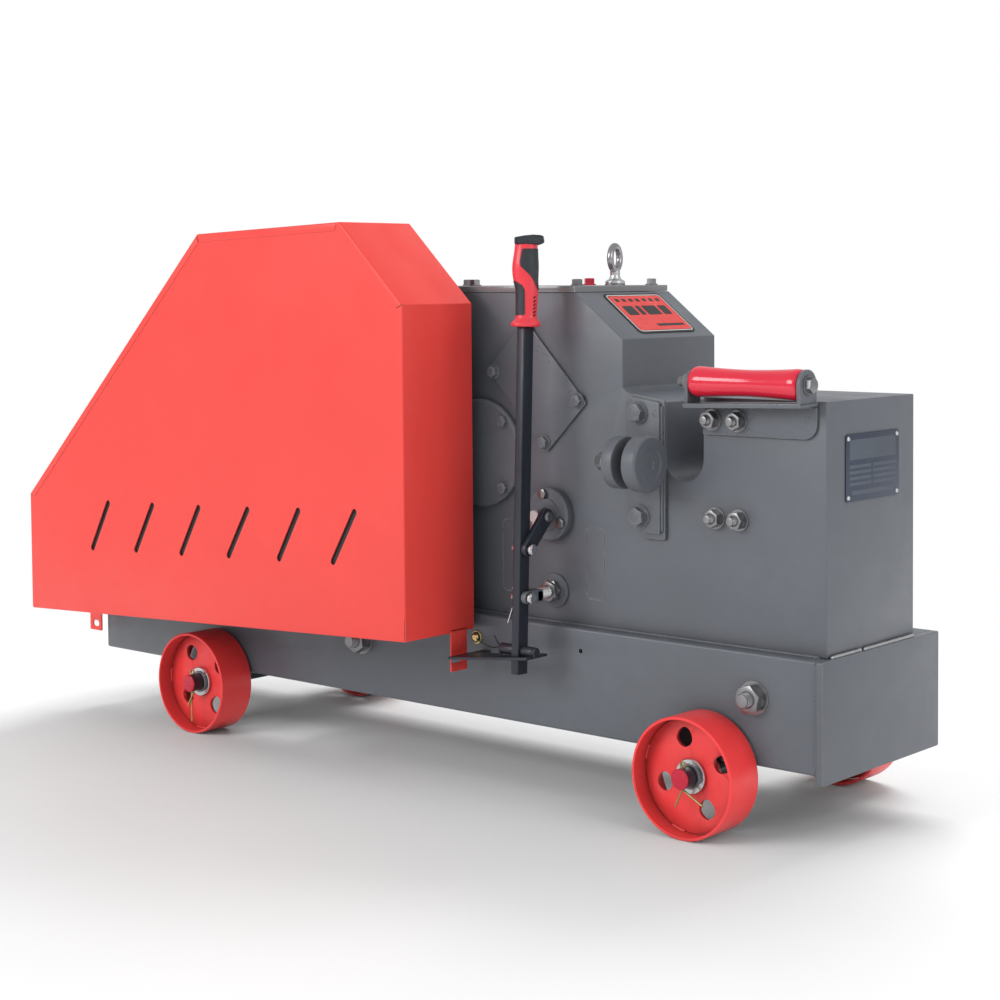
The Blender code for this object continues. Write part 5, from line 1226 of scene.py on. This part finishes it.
SLOTS = [(-511.5, -548.5, 329.5, 264.0), (-413.0, -450.0, 333.0, 269.0), (-314.5, -351.5, 336.5, 273.0),
         (-215.0, -253.5, 341.0, 278.0), (-116.5, -154.0, 346.5, 282.5), (-13.0, -52.5, 352.0, 287.0)]
slots = bmesh.new()
for x_top, x_low, z_top, z_low in SLOTS:
    prism(obround(x_low, z_low, x_top, z_top, 4.5, 16), GUARD_Y0 - 5, GUARD_Y0 + 8, bm=slots)
slits = bmesh.new()
for (x, z), (dx, dz) in (((74.0, 611.0), (-9.0, -4.2)), ((-309.0, 703.5), (4.0, -11.0)), ((-696.9, 331.8), (7.0, -2.0))):
    away = Vector((-dz, dx)).normalized() * 0.55
    prism([(x - dx * 0.3 + away.x, z - dz * 0.3 + away.y), (x - dx * 0.3 - away.x, z - dz * 0.3 - away.y), (x + dx - away.x, z + dz - away.y), (x + dx + away.x, z + dz + away.y)],
          GUARD_Y0 - 4, GUARD_Y0 + 3.5, bm=slits)
box(72.4, 73.2, GUARD_Y0 - 3, GUARD_Y0 + 4, 199, 226, slits)
piece(
    "belt_guard_fine", prism(filleted(guard, 2.5, 4), GUARD_Y0, GUARD_Y1), RED, like="belt_guard", bevel=2.0, segments=3, angle=60,
    cuts=[prism(shrunk(guard, 14), GUARD_Y1 - 8, GUARD_Y1 + 8), prism(filleted(shrunk(guard, 2.0), 1.2, 3), GUARD_Y0 + 2, GUARD_Y1 - 2), slots, slits],
)
lips = bmesh.new()


def lip(p, q, width, start, end):
    """A folded lip lying on the near face along the edge from p to q."""
    a, b = Vector(p), Vector(q)
    along = (b - a).normalized()
    inward = Vector((-along.y, along.x))
    p0, p1 = a + along * start, b - along * end
    prism([tuple(p0 + inward * 1.6), tuple(p1 + inward * 1.6), tuple(p1 + inward * width - along * 2.0), tuple(p0 + inward * width + along * 2.0)],
          GUARD_Y0 - 0.75, GUARD_Y0 + 0.3, bm=lips)


lip(guard[4], guard[5], 10.5, 4.0, 3.0)
lip(guard[3], guard[4], 10.5, 6.0, 5.0)
piece("belt_guard_folded_lips", lips, RED, bevel=0.35)
lugs = bmesh.new()
prism(filleted([(-725.7, 111), (-697.5, 111), (-697.5, 166), (-725.7, 166)], 1.5), GUARD_Y1 - 2.0, GUARD_Y1, holes=[obround(-713.5, 121.5, -708.5, 121.5, 4.6, 12)], bm=lugs)
piece("belt_guard_lug_left", lugs, RED, bevel=0.4)
lugs = prism(filleted([(-183, 149), (-154, 149), (-154, 202), (-183, 202)], 1.5), 71.8, 74.0, "X", holes=[obround(-178, 164, -168, 164, 4.3, 12)])
piece("belt_guard_lug_right", lugs, RED, bevel=0.4)

# painted shade: a dark sheet just behind the slots stands in for the shade inside the guard
piece("belt_guard_vent_shade_sheet", box(-562, 0, -261.3, -260.3, 256, 358), DARK_PLASTIC, body=frame["nodes"]["belt_guard"]["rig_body"])

# ---------------------------------------------------------------- fittings
eye = bmesh.new()
ring_z, ring_r, wire_r = 666.8, 15.0, 4.3
EYE_X, EYE_Y = 200.6, -9.0
lathe([(ring_r + wire_r * math.cos(t), EYE_X + wire_r * math.sin(t)) for t in [2 * math.pi * k / 20 for k in range(20)]], (EYE_Y, ring_z), "X", 72, closed=True, bm=eye)
bmesh.ops.rotate(eye, cent=at(EYE_X, EYE_Y, ring_z), matrix=Matrix.Rotation(math.radians(16), 3, "Z"), verts=eye.verts[:])
piece("lifting_eye_ring", eye, EYE_STEEL, like="lifting_eye")
collar = [(0, 634.6), (12.2, 634.6), (12.6, 635.2), (12.6, 637.4), (11, 638.8), (7.6, 640.6), (6.2, 645), (6.6, 650), (4.6, 653), (0, 653)]
piece("lifting_eye_collar", lathe(collar, (EYE_X, EYE_Y), "Z", 56, soft=0.5), ZINC)
piece("lifting_eye_washer", lathe([(0, 632.7), (13, 632.7), (13, 634.5), (0, 634.5)], (EYE_X, EYE_Y), "Z", 56, soft=0.4), NUT)

slope = math.atan2(WALL_TOP - NOSE_Z, NOSE_X - CHAMFER_X)
label_lo, label_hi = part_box("front_label")
label_y0, label_y1 = label_lo.y / MM - OY, label_hi.y / MM - OY
label_s0 = 5.0
label_s1 = label_s0 + ((label_hi.x - label_lo.x) / MM) / math.cos(slope) - 0.8


def on_slope(outline, lo, hi, bm=None, holes=()):
    """An outline in (across, down the slope) lifted off the sloping face. Across runs from the near side to the far side."""
    made = prism(outline, lo, hi, "Z", holes=holes)
    turn = Matrix.Rotation(slope, 4, "Y")
    origin = at(0, 0, 0)
    bmesh.ops.translate(made, verts=made.verts[:], vec=-origin)
    # across -> machine Y, down -> along the slope
    swap = Matrix(((0, 1, 0, 0), (1, 0, 0, 0), (0, 0, 1, 0), (0, 0, 0, 1)))
    bmesh.ops.transform(made, matrix=Matrix.Translation(at(CHAMFER_X, 0, WALL_TOP)) @ turn @ swap, verts=made.verts[:])
    bmesh.ops.recalc_face_normals(made, faces=made.faces[:])
    if bm is not None:
        return absorb(bm, made)
    return made


L0, L1 = label_y0, label_y1
S0, S1 = label_s0, label_s1
piece("front_label_backing", on_slope(rounded(L0, S0, L1, S1, 7, 8), 0.35, 1.0), LABEL_BLACK, like="front_label")
piece("front_label_outline", on_slope(rounded(L0 + 3.0, S0 + 3.0, L1 - 3.0, S1 - 3.0, 5.4, 8), 0.9, 1.12,
      holes=[rounded(L0 + 4.0, S0 + 4.0, L1 - 4.0, S1 - 4.0, 4.6, 8)]), LABEL_WHITE)
piece("front_label_field", on_slope(rounded(L0 + 5.0, S0 + 5.0, L1 - 5.0, S1 - 5.0, 4.0, 8), 0.9, 1.14), LABEL_RED)
marks = bmesh.new()
for k in range(7):
    x = L0 + 13 + k * (L1 - L0 - 33) / 6
    on_slope(rounded(x, S0 + 10.5, x + 7.2, S0 + 16.5, 0.8, 2), 1.1, 1.26, marks)
for x0, x1 in ((0.12, 0.30), (0.34, 0.42), (0.46, 0.70), (0.74, 0.88)):
    w = L1 - L0
    on_slope(rounded(L0 + x0 * w, S0 + 25, L0 + x1 * w, S0 + 43, 2.2, 4), 1.1, 1.26, marks)
on_slope(rounded(L0 + 0.42 * (L1 - L0), S1 - 17, L1 - 12, S1 - 12.5, 1.0, 3), 1.1, 1.26, marks)
piece("front_label_blocks", marks, LABEL_BLACK)

piece("rating_plate_fine", prism(rounded(-71.5, 386.7, 43.9, 463.7, 4, 5), BODY_X1 + 0.3, BODY_X1 + 1.5, "X"), PLATE, like="rating_plate",
      bevel=0.25)
marks = bmesh.new()
prism(rounded(-64, 434, 36, 457, 1.5, 3), BODY_X1 + 1.4, BODY_X1 + 1.62, "X", bm=marks)
for k in range(4):
    z = 428 - k * 6.6
    prism([(-64, z), (-18, z), (-18, z - 3.6), (-64, z - 3.6)], BODY_X1 + 1.4, BODY_X1 + 1.6, "X", bm=marks)
    prism([(-14, z), (36, z), (36, z - 3.6), (-14, z - 3.6)], BODY_X1 + 1.4, BODY_X1 + 1.6, "X", bm=marks)
prism([(-60, 399), (32, 399), (32, 394), (-60, 394)], BODY_X1 + 1.4, BODY_X1 + 1.6, "X", bm=marks)
piece("rating_plate_blocks", marks, PLATE_LIGHT)
fix = bmesh.new()
for y in (-66.5, 38.9):
    for z in (391.7, 458.7):
        lathe([(0, BODY_X1 + 3.2), (1.6, BODY_X1 + 3.0), (2.6, BODY_X1 + 2.2), (2.9, BODY_X1 + 1.4), (0, BODY_X1 + 1.4)], (y, z), "X", 20, bm=fix)
piece("rating_plate_rivets", fix, STEEL)

# ---------------------------------------------------------------- inside
for node, mat, slot_name, width in (
    ("crank_bush_near", BRONZE, "bronze", 0.4), ("crank_bush_far", BRONZE, "bronze", 0.4),
    ("input_bearing_near", STEEL, "bright_steel", 0.4), ("input_bearing_far", STEEL, "bright_steel", 0.4),
    ("input_pinion_shaft", GROUND, "bright_steel", 0.3), ("intermediate_pinion_shaft", GROUND, "bright_steel", 0.3),
    ("intermediate_gear", TOOL, "tool_steel", 0.3), ("crank_gear", TOOL, "tool_steel", 0.3),
    ("crankshaft", GROUND, "bright_steel", 0.6), ("sliding_block", BRONZE, "bronze", 0.6), ("ram", GROUND, "bright_steel", 0.8),
    ("moving_blade", TOOL, "tool_steel", 0.6), ("fixed_blade", TOOL, "tool_steel", 0.6),
    ("clutch_collar", TOOL, "tool_steel", 0.4), ("clutch_fork", IRON, "cast_iron", 0.6),
):
    refined(node, mat, width)

# ---------------------------------------------------------------- stage
bm = bmesh.new()
bmesh.ops.create_grid(bm, x_segments=8, y_segments=8, size=14.0)
mesh = bpy.data.meshes.new("floor")
bm.to_mesh(mesh)
bm.free()
floor = bpy.data.objects.new("floor", mesh)
bpy.context.scene.collection.objects.link(floor)
g = Graph("studio_floor")
floor.data.materials.append(g.done(g.mix(g.spread(g.noise(2.2, 3), 0.3, 0.7), (0.90, 0.90, 0.90), (0.93, 0.93, 0.93)), 0.6, g.bump(g.noise(300, 2), 0.05, 0.0005)))
floor_tree = floor.data.materials[0].node_tree
spot_at = floor_tree.nodes.new("ShaderNodeNewGeometry")
off_centre = floor_tree.nodes.new("ShaderNodeVectorMath")
off_centre.operation = "MULTIPLY"
off_centre.inputs[1].default_value = (0.72, 1.0, 0.0)
floor_tree.links.new(spot_at.outputs["Position"], off_centre.inputs[0])
reach_out = floor_tree.nodes.new("ShaderNodeVectorMath")
reach_out.operation = "LENGTH"
floor_tree.links.new(off_centre.outputs["Vector"], reach_out.inputs[0])
fade = floor_tree.nodes.new("ShaderNodeMapRange")
fade.interpolation_type = "SMOOTHSTEP"
fade.inputs["From Min"].default_value, fade.inputs["From Max"].default_value = 0.45, 1.35
floor_tree.links.new(reach_out.outputs["Value"], fade.inputs["Value"])
seen = floor_tree.nodes.new("ShaderNodeLightPath")
gate = floor_tree.nodes.new("ShaderNodeMath")
gate.operation = "MULTIPLY"
floor_tree.links.new(fade.outputs["Result"], gate.inputs[0])
floor_tree.links.new(seen.outputs["Is Camera Ray"], gate.inputs[1])
paper = floor_tree.nodes.new("ShaderNodeEmission")
paper.inputs["Strength"].default_value = 1.0
blend = floor_tree.nodes.new("ShaderNodeMixShader")
sheet = next(n for n in floor_tree.nodes if n.type == "OUTPUT_MATERIAL")
floor_tree.links.new(gate.outputs["Value"], blend.inputs["Fac"])
floor_tree.links.new(g.bsdf.outputs["BSDF"], blend.inputs[1])
floor_tree.links.new(paper.outputs["Emission"], blend.inputs[2])
floor_tree.links.new(blend.outputs["Shader"], sheet.inputs["Surface"])

world = bpy.data.worlds.new("studio")
bpy.context.scene.world = world
world.use_nodes = True
tree = world.node_tree
background = tree.nodes["Background"]
light_path = tree.nodes.new("ShaderNodeLightPath")
level = tree.nodes.new("ShaderNodeMapRange")
tree.links.new(light_path.outputs["Is Camera Ray"], level.inputs["Value"])
level.inputs["To Min"].default_value = 0.60
level.inputs["To Max"].default_value = 1.0
tree.links.new(level.outputs["Result"], background.inputs["Strength"])
background.inputs["Color"].default_value = (1.0, 1.0, 1.0, 1.0)


def area(name, x, y, z, target, size, power, tint=(1, 1, 1)):
    lamp = bpy.data.lights.new(name, "AREA")
    lamp.shape = "RECTANGLE"
    lamp.size, lamp.size_y = size
    lamp.energy = power
    lamp.color = tint
    obj = bpy.data.objects.new(name, lamp)
    bpy.context.scene.collection.objects.link(obj)
    obj.location = (x, y, z)
    obj.rotation_euler = (Vector(target) - Vector((x, y, z))).to_track_quat("-Z", "Y").to_euler()
    return obj


area("key_light", -0.9, -3.4, 1.9, (0, 0, 0.28), (2.0, 1.5), 62)
area("side_light", 3.4, -0.3, 1.7, (0.2, 0, 0.35), (1.8, 1.8), 24)
area("back_light", -0.4, 2.3, 3.0, (0, -0.1, 0.2), (2.4, 1.6), 100).visible_glossy = False

# ---------------------------------------------------------------- camera
yaw, pitch, roll = 0.6949, 0.0495, -0.0061
ahead = Vector((-math.sin(yaw) * math.cos(pitch), math.cos(yaw) * math.cos(pitch), -math.sin(pitch)))
right = Vector((math.cos(yaw), math.sin(yaw), 0))
up = right.cross(ahead)
right, up = math.cos(roll) * right + math.sin(roll) * up, -math.sin(roll) * right + math.cos(roll) * up
camera = bpy.data.cameras.new("camera")
camera.sensor_width = 36.0
camera.lens = 71.383
camera.shift_x, camera.shift_y = -0.08042, -0.12283
camera.clip_end = 100.0
eye_object = bpy.data.objects.new("camera", camera)
bpy.context.scene.collection.objects.link(eye_object)
turned = Matrix((right, up, -ahead)).transposed().to_4x4()
eye_object.matrix_world = Matrix.Translation((1.84725 - 0.06855 + OX * MM, -1.93430 - 0.0376 + OY * MM, 0.64078)) @ turned
bpy.context.scene.camera = eye_object
bpy.context.scene.view_settings.view_transform = "Standard"
